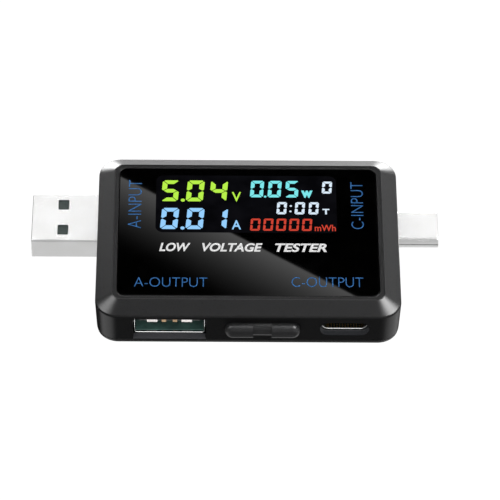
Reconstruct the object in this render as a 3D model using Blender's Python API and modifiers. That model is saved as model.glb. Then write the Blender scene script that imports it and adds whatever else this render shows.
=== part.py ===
"""Inline power meter with a colour display: a type A plug and a type C plug on its
two ends, a type A socket, a type C socket and one sprung key on its front.

Metres, +Z up through the display, +X to the type C plug, -Y to the sockets. The
origin is the centre of the flat underside. Run it in Blender to build the model.
"""

import math

import bmesh
import bpy

MM = 0.001

# Housing: two moulded shells that meet at a parting line low on the walls.
BODY_LENGTH = 55.7 * MM
BODY_DEPTH = 40.1 * MM
BODY_RADIUS = 4.2 * MM
WALL = 1.4 * MM
DRAFT = 0.25 * MM
BASE_HEIGHT = 1.4 * MM
WALL_HEIGHT = 6.55 * MM
BEZEL_RISE = 1.5 * MM
BEZEL_RUN = 3.1 * MM
BEZEL_RADIUS = 1.6 * MM
SHOULDER_ROUND = 0.45 * MM
BASE_RUN = 1.3 * MM
BASE_EDGE_HEIGHT = 0.7 * MM
BASE_EDGE_INSET = 0.13 * MM
PARTING_GAP = 0.08 * MM
ROOF = 1.05 * MM
FLOOR = 1.2 * MM
LIP_WALL = 0.8 * MM
LIP_HEIGHT = 0.7 * MM
FIT = 0.1 * MM  # side clearance between pieces that seat in each other
SEAT = 0.05 * MM  # gap between faces that rest on each other

# Window: a flat lens in a shallow recess of the bezel, with a flat rim round it.
BEZEL_RIM = 0.85 * MM
LENS_LENGTH = BODY_LENGTH - 2 * (BEZEL_RUN + BEZEL_RIM)
LENS_DEPTH = BODY_DEPTH - 2 * (BEZEL_RUN + BEZEL_RIM)
LENS_RADIUS = 1.5 * MM
LENS_THICKNESS = 0.8 * MM
LENS_RECESS = 0.15 * MM
LENS_LEDGE = 1.3 * MM
LENS_LEDGE_THICKNESS = 0.55 * MM

# Display module under the lens, behind the type A socket.
DISPLAY_LENGTH = 36.6 * MM
DISPLAY_GLASS = 1.1 * MM
DISPLAY_LIGHT_GUIDE = 1.3 * MM
DISPLAY_X = -0.35 * MM
DISPLAY_REAR_GAP = 0.2 * MM
DISPLAY_SOCKET_GAP = 2.75 * MM
RIBBON_WIDTH = 14.0 * MM
RIBBON_THICKNESS = 0.12 * MM
RIBBON_BEND = 0.5 * MM
RIBBON_OUT = 0.8 * MM
RIBBON_FOOT = 2.5 * MM

# Circuit board and the screws that close the housing.
BOARD_THICKNESS = 1.0 * MM
BOARD_BASE = 2.0 * MM
BOARD_GAP = 0.45 * MM
POST_RADIUS = 1.7 * MM
POST_INSET = 2.6 * MM
SCREW_RADIUS = 0.8 * MM
SCREW_HEAD_RADIUS = 1.5 * MM
SCREW_HEAD_HEIGHT = 0.6 * MM
SCREW_LENGTH = 5.0 * MM
SCREW_CLEARANCE = 0.12 * MM
STANDOFF_SIDE = 2.0 * MM

# Type A plug, on the left end.
PLUG_A_WIDTH = 12.0 * MM
PLUG_A_HEIGHT = 4.5 * MM
PLUG_A_RADIUS = 0.6 * MM
PLUG_A_WALL = 0.3 * MM
PLUG_A_REACH = 12.2 * MM
PLUG_A_ROOT = 6.3 * MM
PLUG_A_POST_GAP = 2.85 * MM
PLUG_A_TONGUE = 1.85 * MM
PLUG_A_HOLE_ALONG = 2.0 * MM
PLUG_A_HOLE_ACROSS = 2.5 * MM
PLUG_A_HOLE_FROM_TIP = 4.9 * MM
PLUG_A_HOLE_PITCH = 6.4 * MM
PLUG_A_CONTACT_WIDTH = 1.0 * MM
PLUG_A_CONTACT_THICKNESS = 0.2 * MM

# Type A socket, on the left of the front.
SOCKET_A_WIDTH = 13.1 * MM
SOCKET_A_HEIGHT = 5.7 * MM
SOCKET_A_RADIUS = 0.45 * MM
SOCKET_A_WALL = 0.29 * MM
SOCKET_A_LENGTH = 13.9 * MM
SOCKET_A_RECESS = 1.4 * MM
SOCKET_A_HOOD = 0.8 * MM  # how far the wall reaches down over the shell's upper edge
SOCKET_A_HOOD_GAP = 0.3 * MM
SOCKET_A_POST_GAP = 1.3 * MM
SOCKET_A_TONGUE_WIDTH = 11.1 * MM
SOCKET_A_TONGUE_HEIGHT = 1.84 * MM
SOCKET_A_TONGUE_BACK = 0.45 * MM
SOCKET_A_BLOCK = 3.0 * MM
SOCKET_A_CONTACT_THICKNESS = 0.16 * MM
SOCKET_A_CONTACT_SPRING = 0.35 * MM

# Contact rows that the type A standard fixes: places across, and strip widths.
A_CONTACT_PLACES = (-3.5 * MM, -1.0 * MM, 1.0 * MM, 3.5 * MM)
SOCKET_A_CONTACT_PLACES = (-3.15 * MM, -1.0 * MM, 1.0 * MM, 3.15 * MM)
SOCKET_A_CONTACT_WIDTHS = (1.9 * MM, 0.8 * MM, 0.8 * MM, 1.9 * MM)

# Type C plug, on the right end.
PLUG_C_WIDTH = 8.25 * MM
PLUG_C_HEIGHT = 2.4 * MM
PLUG_C_WALL = 0.25 * MM
PLUG_C_REACH = 7.5 * MM
PLUG_C_ROOT = 5.0 * MM
PLUG_C_POST_GAP = 5.225 * MM
PLUG_C_SLOT_HEIGHT = 0.95 * MM
PLUG_C_SLOT_WIDTH = 6.9 * MM
PLUG_C_SLOT_DEPTH = 5.6 * MM
PLUG_C_BLOCK_HEIGHT = 2.6 * MM
PLUG_C_BLOCK_LENGTH = 2.3 * MM
PLUG_C_FOOT_WIDTH = 5.8 * MM
PLUG_C_FOOT_LENGTH = 2.0 * MM

# Type C socket, on the right of the front.
SOCKET_C_WIDTH = 8.94 * MM
SOCKET_C_HEIGHT = 3.16 * MM
SOCKET_C_WALL = 0.3 * MM
SOCKET_C_LENGTH = 7.3 * MM
SOCKET_C_RECESS = 1.4 * MM
SOCKET_C_POST_GAP = 0.18 * MM
SOCKET_C_TONGUE_WIDTH = 6.69 * MM
SOCKET_C_TONGUE_HEIGHT = 0.7 * MM
SOCKET_C_TONGUE_BACK = 0.65 * MM
SOCKET_C_BLOCK = 2.2 * MM

PLUG_LEVEL = 4.85 * MM  # height of both plugs' centre lines
SOCKET_A_LEVEL = 4.88 * MM
SOCKET_C_LEVEL = 4.7 * MM

# Key and the switch that it presses.
KEY_WIDTH = 13.6 * MM
KEY_HEIGHT = 2.9 * MM
KEY_X = 2.6 * MM
KEY_LEVEL = 4.8 * MM
KEY_PROUD = 1.4 * MM
KEY_SADDLE_WIDTH = 3.4 * MM
KEY_SADDLE_DROP = 0.5 * MM
KEY_FLANGE_MARGIN = 0.8 * MM
KEY_FLANGE_RISE = 0.5 * MM
KEY_FLANGE = 0.6 * MM
KEY_NOSE = 0.7 * MM
KEY_TRAVEL = 0.3 * MM
KEY_EDGE = 0.85 * MM
SWITCH_WIDTH = 6.0 * MM
SWITCH_HEIGHT = 3.5 * MM
SWITCH_DEPTH = 3.4 * MM
SWITCH_COVER = 0.25 * MM
PLUNGER_WIDTH = 2.9 * MM
PLUNGER_HEIGHT = 1.4 * MM
PLUNGER_PROUD = 0.8 * MM
PLUNGER_DEEP = 1.2 * MM

CORNER_STEPS = 7
ROUND_SIDES = 28

# Levels that follow from the sizes above.
PARTING_Z = BASE_HEIGHT
SHOULDER_Z = BASE_HEIGHT + WALL_HEIGHT
TOP_Z = SHOULDER_Z + BEZEL_RISE
LEDGE_Z = TOP_Z - LENS_RECESS
LENS_BOTTOM_Z = LEDGE_Z - LENS_THICKNESS
DISPLAY_TOP_Z = LENS_BOTTOM_Z - SEAT
LIGHT_GUIDE_TOP_Z = DISPLAY_TOP_Z - DISPLAY_GLASS - SEAT
BOARD_TOP_Z = BOARD_BASE + BOARD_THICKNESS
CEILING_Z = LENS_BOTTOM_Z - SEAT - LENS_LEDGE_THICKNESS
INNER_LENGTH = BODY_LENGTH - 2 * WALL
INNER_DEPTH = BODY_DEPTH - 2 * WALL
INNER_RADIUS = BODY_RADIUS - WALL
FRONT_Y = -BODY_DEPTH / 2
POST_X = INNER_LENGTH / 2 - POST_INSET
POST_Y = INNER_DEPTH / 2 - POST_INSET
CORNERS = ((1, 1), (1, -1), (-1, -1), (-1, 1))

# Places that follow from the screw posts, the window and each other.
POST_INNER_X = POST_X - POST_RADIUS
POST_INNER_Y = POST_Y - POST_RADIUS
PLUG_A_Y = POST_INNER_Y - PLUG_A_POST_GAP - PLUG_A_WIDTH / 2
PLUG_C_Y = POST_INNER_Y - PLUG_C_POST_GAP - PLUG_C_WIDTH / 2
SOCKET_A_X = -POST_INNER_X + SOCKET_A_POST_GAP + SOCKET_A_WIDTH / 2
SOCKET_C_X = POST_INNER_X - SOCKET_C_POST_GAP - SOCKET_C_WIDTH / 2
SOCKET_A_BACK_Y = FRONT_Y + SOCKET_A_RECESS + SOCKET_A_LENGTH
DISPLAY_REAR_Y = LENS_DEPTH / 2 - LENS_LEDGE - DISPLAY_REAR_GAP
DISPLAY_FRONT_Y = SOCKET_A_BACK_Y + DISPLAY_SOCKET_GAP
DISPLAY_DEPTH = DISPLAY_REAR_Y - DISPLAY_FRONT_Y
DISPLAY_Y = (DISPLAY_REAR_Y + DISPLAY_FRONT_Y) / 2


def clear_scene():
    for obj in list(bpy.data.objects):
        bpy.data.objects.remove(obj, do_unlink=True)


def new_collection(name):
    collection = bpy.data.collections.new(name)
    bpy.context.scene.collection.children.link(collection)
    return collection


def material(name, colour, roughness, metallic=0.0):
    """A Principled material with one linear colour."""
    made = bpy.data.materials.new(name)
    made.use_nodes = True
    shader = made.node_tree.nodes["Principled BSDF"]
    shader.inputs["Base Color"].default_value = (*colour, 1.0)
    shader.inputs["Roughness"].default_value = roughness
    shader.inputs["Metallic"].default_value = metallic
    return made


def finish(bm, name, look, frame=None, smooth=True):
    """Turns a bmesh into an object of the model, placed by the empty called frame."""
    bmesh.ops.recalc_face_normals(bm, faces=bm.faces)
    mesh = bpy.data.meshes.new(name)
    bm.to_mesh(mesh)
    bm.free()
    if smooth:
        mesh.shade_smooth()
        mesh.set_sharp_from_angle(angle=math.radians(35))
    obj = bpy.data.objects.new(name, mesh)
    obj.parent = frame
    PARTS.objects.link(obj)
    if look is not None:
        mesh.materials.append(look)
    return obj


def helper(obj):
    """Moves an object to the cutters, which show as wires and never render."""
    PARTS.objects.unlink(obj)
    CUTTERS.objects.link(obj)
    obj.hide_render = True
    obj.display_type = "WIRE"
    return obj


def boolean(obj, other, operation):
    step = obj.modifiers.new(other.name, "BOOLEAN")
    step.operation = operation
    step.solver = "EXACT"
    step.object = helper(other)


def cut(obj, *others):
    for other in others:
        boolean(obj, other, "DIFFERENCE")


def join(obj, *others):
    for other in others:
        boolean(obj, other, "UNION")


def outline(width, height, radius, centre):
    """Points round a rectangle with round corners, CORNER_STEPS steps to a corner."""
    radius = min(radius, width / 2, height / 2)
    points = []
    for quarter, (side_x, side_y) in enumerate(((1, 1), (-1, 1), (-1, -1), (1, -1))):
        x = centre[0] + side_x * (width / 2 - radius)
        y = centre[1] + side_y * (height / 2 - radius)
        for step in range(CORNER_STEPS + 1):
            angle = (quarter + step / CORNER_STEPS) * math.pi / 2
            point = (x + radius * math.cos(angle), y + radius * math.sin(angle))
            if not points or math.dist(point, points[-1]) > 0.001 * MM:
                points.append(point)
    if math.dist(points[0], points[-1]) < 0.001 * MM:
        points.pop()
    return points


def loft(name, look, sections, frame=None, centre=(0, 0)):
    """A solid through rounded rectangles: each section is z, width, height, radius."""
    bm = bmesh.new()
    rings = []
    for z, width, height, radius in sections:
        flat = outline(width, height, radius, centre)
        verts = [bm.verts.new((x, y, z)) for x, y in flat]
        ends = zip(verts, verts[1:] + verts[:1])
        rings.append((verts, [bm.edges.new(pair) for pair in ends]))
    for (_, low), (_, high) in zip(rings, rings[1:]):
        bmesh.ops.bridge_loops(bm, edges=low + high)
    bm.faces.new(rings[0][0])
    bm.faces.new(rings[-1][0])
    return finish(bm, name, look, frame)


def slab(name, look, size, centre, radius=0.0, frame=None):
    """A block with its corners in plan rounded; size and centre are x, y, z."""
    low, high = centre[2] - size[2] / 2, centre[2] + size[2] / 2
    sections = [(z, size[0], size[1], radius) for z in (low, high)]
    return loft(name, look, sections, frame, centre[:2])


def box(name, look, size, centre, frame=None, edge=0.0):
    """A plain block, with its edges broken by a bevel where edge is given."""
    bm = bmesh.new()
    bmesh.ops.create_cube(bm, size=1.0)
    bmesh.ops.scale(bm, vec=size, verts=bm.verts)
    bmesh.ops.translate(bm, vec=centre, verts=bm.verts)
    obj = finish(bm, name, look, frame, smooth=False)
    if edge:
        step = obj.modifiers.new("edges", "BEVEL")
        step.width = edge
        step.segments = 1
    return obj


def disc(name, look, radius, low, high, centre=(0, 0), frame=None, top_radius=None):
    """A cylinder or cone along Z between two levels."""
    bm = bmesh.new()
    bmesh.ops.create_cone(
        bm,
        cap_ends=True,
        segments=ROUND_SIDES,
        radius1=radius,
        radius2=radius if top_radius is None else top_radius,
        depth=high - low,
    )
    bmesh.ops.translate(bm, vec=(*centre, (low + high) / 2), verts=bm.verts)
    return finish(bm, name, look, frame)


def ribbon(name, look, points, width, thickness, frame, x):
    """A strip bent along points of (y, z), with its width along X at x."""
    curve = bpy.data.curves.new(name, "CURVE")
    curve.dimensions = "2D"
    curve.fill_mode = "BOTH"
    curve.extrude = width / 2
    spline = curve.splines.new("POLY")
    offsets = strip_sides(points, thickness)
    spline.points.add(len(offsets) - 1)
    for point, (u, v) in zip(spline.points, offsets):
        point.co = (u, v, 0, 1)
    spline.use_cyclic_u = True
    flat = bpy.data.objects.new(name, curve)
    PARTS.objects.link(flat)
    graph = bpy.context.evaluated_depsgraph_get()
    mesh = bpy.data.meshes.new_from_object(flat.evaluated_get(graph))
    bpy.data.objects.remove(flat, do_unlink=True)
    bm = bmesh.new()
    bm.from_mesh(mesh)
    bmesh.ops.remove_doubles(bm, verts=bm.verts, dist=0.0001 * MM)
    for vert in bm.verts:
        u, v, w = vert.co
        vert.co = (x + w, u, v)
    return finish(bm, name, look, frame)


def strip_sides(points, thickness):
    """Both sides of a strip of even thickness that follows points in a plane."""
    left, right = [], []
    for index, (u, v) in enumerate(points):
        before = points[max(index - 1, 0)]
        after = points[min(index + 1, len(points) - 1)]
        turn = math.atan2(after[1] - v, after[0] - u) if after != (u, v) else None
        came = math.atan2(v - before[1], u - before[0]) if before != (u, v) else turn
        turn = came if turn is None else turn
        half_bend = math.remainder(turn - came, 2 * math.pi) / 2
        across = came + half_bend + math.pi / 2
        reach = thickness / 2 / math.cos(half_bend)
        left.append((u + reach * math.cos(across), v + reach * math.sin(across)))
        right.append((u - reach * math.cos(across), v - reach * math.sin(across)))
    return left + right[::-1]


def place(name, location, turn):
    """An empty at a port's mouth. Local +Z points out of the port, local +Y is up."""
    empty = bpy.data.objects.new(name, None)
    empty.location = location
    empty.rotation_euler = (math.pi / 2, 0, turn)
    PARTS.objects.link(empty)
    return empty


clear_scene()
PARTS = new_collection("power_meter")
CUTTERS = new_collection("cutters")

HOUSING_PLASTIC = material("charcoal_housing_plastic", (0.032, 0.032, 0.034), 0.45)
LENS_ACRYLIC = material("black_backed_acrylic", (0.004, 0.004, 0.005), 0.06)
DISPLAY_CELL = material("display_cell_glass", (0.02, 0.022, 0.024), 0.1)
LIGHT_GUIDE = material("white_light_guide", (0.8, 0.82, 0.8), 0.4)
POLYIMIDE = material("amber_flexible_strip", (0.45, 0.17, 0.03), 0.35)
BOARD_LAMINATE = material("green_board_laminate", (0.02, 0.11, 0.05), 0.4)
NICKEL_SHELL = material("nickel_plated_shell", (0.72, 0.71, 0.69), 0.22, 1.0)
BLACK_INSULATOR = material("black_insulator", (0.02, 0.025, 0.022), 0.5)
WHITE_INSULATOR = material("white_insulator", (0.75, 0.75, 0.72), 0.45)
GOLD_CONTACT = material("gold_plated_contact", (0.83, 0.6, 0.25), 0.25, 1.0)
SILVER_CONTACT = material("tinned_contact", (0.8, 0.8, 0.8), 0.3, 1.0)
SCREW_STEEL = material("zinc_plated_screw", (0.55, 0.55, 0.56), 0.3, 1.0)
CHIP_EPOXY = material("black_chip_epoxy", (0.015, 0.015, 0.016), 0.55)
CAPACITOR_CERAMIC = material("tan_capacitor_ceramic", (0.42, 0.28, 0.16), 0.5)
RESISTOR_ALLOY = material("shunt_alloy", (0.35, 0.27, 0.2), 0.4, 1.0)
COIL_FERRITE = material("grey_ferrite", (0.09, 0.09, 0.1), 0.6)


def bezel_sections():
    """The top cover's outside: drafted wall, round shoulder, then the sloped bezel."""
    slope = math.atan2(BEZEL_RISE, BEZEL_RUN)
    tangent = SHOULDER_ROUND * math.tan((math.pi / 2 - slope) / 2)
    foot = PARTING_Z + PARTING_GAP
    sections = [
        (
            foot,
            BODY_LENGTH - 2 * DRAFT,
            BODY_DEPTH - 2 * DRAFT,
            BODY_RADIUS - DRAFT,
        )
    ]
    steps = 4
    for step in range(steps + 1):
        angle = (math.pi / 2 - slope) * step / steps
        inset = SHOULDER_ROUND * (1 - math.cos(angle))
        z = SHOULDER_Z - tangent + SHOULDER_ROUND * math.sin(angle)
        sections.append(
            (
                z,
                BODY_LENGTH - 2 * inset,
                BODY_DEPTH - 2 * inset,
                BODY_RADIUS - inset,
            )
        )
    sections.append(
        (
            TOP_Z,
            BODY_LENGTH - 2 * BEZEL_RUN,
            BODY_DEPTH - 2 * BEZEL_RUN,
            BEZEL_RADIUS,
        )
    )
    return sections


def cavity_sections():
    """The hollow of the top cover, with its roof drawn in under the bezel."""
    roof_inset = BEZEL_RUN - ROOF / 2
    return [
        (PARTING_Z - WALL, INNER_LENGTH, INNER_DEPTH, INNER_RADIUS),
        (SHOULDER_Z - ROOF, INNER_LENGTH, INNER_DEPTH, INNER_RADIUS),
        (
            CEILING_Z,
            BODY_LENGTH - 2 * roof_inset,
            BODY_DEPTH - 2 * roof_inset,
            BEZEL_RADIUS,
        ),
    ]


def port_hole(name, frame, width, height, radius, depth):
    """A cutter through a wall for the port whose mouth is at frame."""
    span = (-depth, depth)
    sections = [(z, width, height, radius) for z in span]
    return loft(name, None, sections, frame)


def wall_face_hole(name, place_name, location, turn, size, radius):
    """A hole through a wall, centred on a place on the wall's outer face."""
    frame = place(place_name, location, turn)
    return port_hole(name, frame, size[0], size[1], radius, BEZEL_RUN)


def build_top_cover():
    cover = loft("top_cover", HOUSING_PLASTIC, bezel_sections())
    cut(cover, loft("cover_cavity", None, cavity_sections()))
    for index, (side_x, side_y) in enumerate(CORNERS, start=1):
        centre = (side_x * POST_X, side_y * POST_Y)
        low = FLOOR + SEAT
        post = disc(
            f"screw_post_{index}",
            None,
            POST_RADIUS,
            low,
            CEILING_Z + 0.3 * MM,
            centre,
        )
        join(cover, post)
        hole_top = low + SCREW_LENGTH
        hole = disc(
            f"pilot_hole_{index}",
            None,
            SCREW_RADIUS + SEAT,
            low - WALL,
            hole_top,
            centre,
        )
        cut(cover, hole)
    pocket = slab(
        "lens_recess",
        None,
        (
            LENS_LENGTH + 2 * FIT,
            LENS_DEPTH + 2 * FIT,
            LENS_THICKNESS + LENS_RECESS + WALL,
        ),
        (0, 0, LENS_BOTTOM_Z - SEAT + (LENS_THICKNESS + LENS_RECESS + WALL) / 2),
        LENS_RADIUS + FIT,
    )
    step = slab(
        "bezel_step",
        None,
        (
            BODY_LENGTH - 2 * BEZEL_RUN - 2 * FIT,
            BODY_DEPTH - 2 * BEZEL_RUN - 2 * FIT,
            WALL,
        ),
        (0, 0, LEDGE_Z + WALL / 2),
        BEZEL_RADIUS - FIT,
    )
    opening = slab(
        "window_opening",
        None,
        (LENS_LENGTH - 2 * LENS_LEDGE, LENS_DEPTH - 2 * LENS_LEDGE, BODY_LENGTH / 4),
        (0, 0, CEILING_Z),
        LENS_RADIUS,
    )
    cut(cover, pocket, step, opening)
    cut(cover, *wall_holes())
    return cover


def wall_holes():
    """The holes for both sockets, both plugs and the key."""
    side = BODY_LENGTH / 2
    socket_a = (SOCKET_A_WIDTH + 2 * FIT, SOCKET_A_HEIGHT + 2 * FIT)
    pocket = loft(
        "socket_a_pocket",
        None,
        [
            (z, *socket_a, SOCKET_A_RADIUS / 2)
            for z in (-BEZEL_RUN, SOCKET_A_HOOD_GAP - SOCKET_A_RECESS)
        ],
        place(
            "socket_a_pocket_place", (SOCKET_A_X, FRONT_Y, SOCKET_A_LEVEL), 0
        ),
    )
    return (
        pocket,
        wall_face_hole(
            "socket_a_hole",
            "socket_a_hole_place",
            (SOCKET_A_X, FRONT_Y, SOCKET_A_LEVEL - SOCKET_A_HOOD / 2),
            0,
            (socket_a[0], socket_a[1] - SOCKET_A_HOOD),
            SOCKET_A_RADIUS / 2,
        ),
        wall_face_hole(
            "socket_c_hole",
            "socket_c_hole_place",
            (SOCKET_C_X, FRONT_Y, SOCKET_C_LEVEL),
            0,
            (SOCKET_C_WIDTH + FIT, SOCKET_C_HEIGHT + FIT),
            SOCKET_C_HEIGHT,
        ),
        wall_face_hole(
            "key_hole",
            "key_hole_place",
            (KEY_X, FRONT_Y, KEY_LEVEL),
            0,
            (KEY_WIDTH + 2 * FIT, KEY_HEIGHT + 2 * FIT),
            KEY_HEIGHT,
        ),
        wall_face_hole(
            "plug_a_hole",
            "plug_a_hole_place",
            (-side, PLUG_A_Y, PLUG_LEVEL),
            -math.pi / 2,
            (PLUG_A_WIDTH + 2 * FIT, PLUG_A_HEIGHT + 2 * FIT),
            PLUG_A_RADIUS + FIT,
        ),
        wall_face_hole(
            "plug_c_hole",
            "plug_c_hole_place",
            (side, PLUG_C_Y, PLUG_LEVEL),
            math.pi / 2,
            (PLUG_C_WIDTH + 2 * FIT, PLUG_C_HEIGHT + 2 * FIT),
            PLUG_C_HEIGHT,
        ),
    )


def build_bottom_cover():
    """A shallow tray: floor, sloped skirt, and a lip that locates inside the walls."""
    skirt = BASE_RUN + DRAFT
    cover = loft(
        "bottom_cover",
        HOUSING_PLASTIC,
        [
            (
                0,
                BODY_LENGTH - 2 * skirt,
                BODY_DEPTH - 2 * skirt,
                BODY_RADIUS - BASE_RUN,
            ),
            (
                BASE_EDGE_HEIGHT,
                BODY_LENGTH - 2 * (DRAFT + BASE_EDGE_INSET),
                BODY_DEPTH - 2 * (DRAFT + BASE_EDGE_INSET),
                BODY_RADIUS - DRAFT,
            ),
            (
                BASE_HEIGHT,
                BODY_LENGTH - 2 * DRAFT,
                BODY_DEPTH - 2 * DRAFT,
                BODY_RADIUS - DRAFT,
            ),
        ],
    )
    lip_length = INNER_LENGTH - 2 * FIT
    lip_depth = INNER_DEPTH - 2 * FIT
    lip_top = FLOOR + LIP_HEIGHT
    lip = slab(
        "lip",
        None,
        (lip_length, lip_depth, lip_top - FLOOR / 2),
        (0, 0, (lip_top + FLOOR / 2) / 2),
        INNER_RADIUS - FIT,
    )
    tray = slab(
        "tray",
        None,
        (lip_length - 2 * LIP_WALL, lip_depth - 2 * LIP_WALL, BODY_RADIUS),
        (0, 0, FLOOR + BODY_RADIUS / 2),
        INNER_RADIUS - FIT - LIP_WALL,
    )
    join(cover, lip)
    cut(cover, tray)
    standoff_height = BOARD_BASE - SEAT - FLOOR / 2
    for index, (side_x, side_y) in enumerate(CORNERS, start=1):
        standoff = slab(
            f"standoff_{index}",
            None,
            (STANDOFF_SIDE, STANDOFF_SIDE, standoff_height),
            (
                side_x * POST_X,
                side_y * (POST_Y - POST_RADIUS - STANDOFF_SIDE),
                (BOARD_BASE - SEAT + FLOOR / 2) / 2,
            ),
        )
        join(cover, standoff)
    for index, (side_x, side_y) in enumerate(CORNERS, start=1):
        centre = (side_x * POST_X, side_y * POST_Y)
        post_clearance = disc(
            f"post_clearance_{index}",
            None,
            POST_RADIUS + 2 * FIT,
            FLOOR,
            FLOOR + BODY_RADIUS,
            centre,
        )
        through = disc(
            f"screw_hole_{index}",
            None,
            SCREW_RADIUS + SCREW_CLEARANCE,
            -WALL,
            FLOOR + WALL,
            centre,
        )
        head = disc(
            f"screw_seat_{index}",
            None,
            SCREW_HEAD_RADIUS + SCREW_CLEARANCE,
            -WALL,
            SCREW_HEAD_HEIGHT + SEAT,
            centre,
        )
        cut(cover, post_clearance, through, head)
    return cover


def build_case_screws():
    """Pan-head screws from underneath, each with a cross recess."""
    for index, (side_x, side_y) in enumerate(CORNERS, start=1):
        frame = bpy.data.objects.new(f"case_screw_place_{index}", None)
        frame.location = (side_x * POST_X, side_y * POST_Y, 0)
        PARTS.objects.link(frame)
        screw = disc(
            f"case_screw_{index}",
            SCREW_STEEL,
            SCREW_HEAD_RADIUS,
            SEAT,
            SCREW_HEAD_HEIGHT,
            frame=frame,
        )
        shank = disc(
            f"shank_{index}",
            None,
            SCREW_RADIUS,
            SCREW_HEAD_HEIGHT / 2,
            SCREW_LENGTH,
            frame=frame,
        )
        join(screw, shank)
        for turn, size in enumerate(((1.5, 0.32), (0.32, 1.5)), start=1):
            slot = box(
                f"cross_slot_{index}_{turn}",
                None,
                (size[0] * MM, size[1] * MM, SCREW_HEAD_HEIGHT),
                (0, 0, 0),
                frame,
            )
            cut(screw, slot)


def build_window_lens():
    z = LEDGE_Z - LENS_THICKNESS / 2
    slab(
        "window_lens",
        LENS_ACRYLIC,
        (LENS_LENGTH, LENS_DEPTH, LENS_THICKNESS),
        (0, 0, z),
        LENS_RADIUS,
    )


def build_display():
    """The display cell, the light guide behind it and the strip to the board."""
    centre = (DISPLAY_X, DISPLAY_Y)
    slab(
        "display_cell",
        DISPLAY_CELL,
        (DISPLAY_LENGTH, DISPLAY_DEPTH, DISPLAY_GLASS),
        (*centre, DISPLAY_TOP_Z - DISPLAY_GLASS / 2),
        0.3 * MM,
    )
    slab(
        "light_guide",
        LIGHT_GUIDE,
        (DISPLAY_LENGTH, DISPLAY_DEPTH, DISPLAY_LIGHT_GUIDE),
        (*centre, LIGHT_GUIDE_TOP_Z - DISPLAY_LIGHT_GUIDE / 2),
        0.3 * MM,
    )
    edge = DISPLAY_REAR_Y
    cell_z = DISPLAY_TOP_Z - 0.75 * DISPLAY_GLASS
    board_z = BOARD_TOP_Z + SEAT + RIBBON_THICKNESS / 2
    out = edge + RIBBON_OUT
    ribbon(
        "display_ribbon",
        POLYIMIDE,
        [
            (edge + SEAT, cell_z),
            (edge + RIBBON_BEND, cell_z - FIT),
            (out, cell_z - FIT - RIBBON_BEND),
            (out, board_z + FIT + RIBBON_BEND),
            (edge + RIBBON_BEND, board_z + FIT),
            (edge - RIBBON_FOOT, board_z),
        ],
        RIBBON_WIDTH,
        RIBBON_THICKNESS,
        None,
        DISPLAY_X,
    )


def build_main_board():
    """The board, notched for the screw posts and for the two type A connectors."""
    length = INNER_LENGTH - 2 * BOARD_GAP
    depth = INNER_DEPTH - 2 * BOARD_GAP
    z = BOARD_BASE + BOARD_THICKNESS / 2
    board = slab(
        "main_board",
        BOARD_LAMINATE,
        (length, depth, BOARD_THICKNESS),
        (0, 0, z),
        INNER_RADIUS - BOARD_GAP,
    )
    for index, (side_x, side_y) in enumerate(CORNERS, start=1):
        span_x = sorted((side_x * (POST_X - POST_RADIUS), side_x * BODY_LENGTH / 2))
        span_y = sorted((side_y * (POST_Y - POST_RADIUS), side_y * BODY_DEPTH / 2))
        cut(board, edge_notch(f"post_notch_{index}", span_x, span_y))
    cut(
        board,
        edge_notch(
            "socket_a_notch",
            (SOCKET_A_X - SOCKET_A_WIDTH / 2, SOCKET_A_X + SOCKET_A_WIDTH / 2),
            (FRONT_Y, SOCKET_A_BACK_Y),
        ),
        edge_notch(
            "plug_a_notch",
            (-BODY_LENGTH / 2, -BODY_LENGTH / 2 + PLUG_A_ROOT),
            (PLUG_A_Y - PLUG_A_WIDTH / 2, PLUG_A_Y + PLUG_A_WIDTH / 2),
        ),
    )


def edge_notch(name, span_x, span_y):
    """A cutter through the board round the given spans, with side clearance."""
    size = (
        span_x[1] - span_x[0] + 4 * FIT,
        span_y[1] - span_y[0] + 4 * FIT,
        3 * BOARD_THICKNESS,
    )
    centre = (
        (span_x[0] + span_x[1]) / 2,
        (span_y[0] + span_y[1]) / 2,
        BOARD_BASE + BOARD_THICKNESS / 2,
    )
    return box(name, None, size, centre)


def tube(name, look, frame, size, radius, wall, span):
    """A drawn shell: the space between two rounded prisms."""
    width, height = size
    low, high = span
    shell = loft(name, look, [(z, width, height, radius) for z in span], frame)
    inside = (low - wall, high + wall)
    inner = (width - 2 * wall, height - 2 * wall, max(radius - wall, 0.1 * MM))
    cut(shell, loft(f"{name}_bore", None, [(z, *inner) for z in inside], frame))
    return shell


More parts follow.
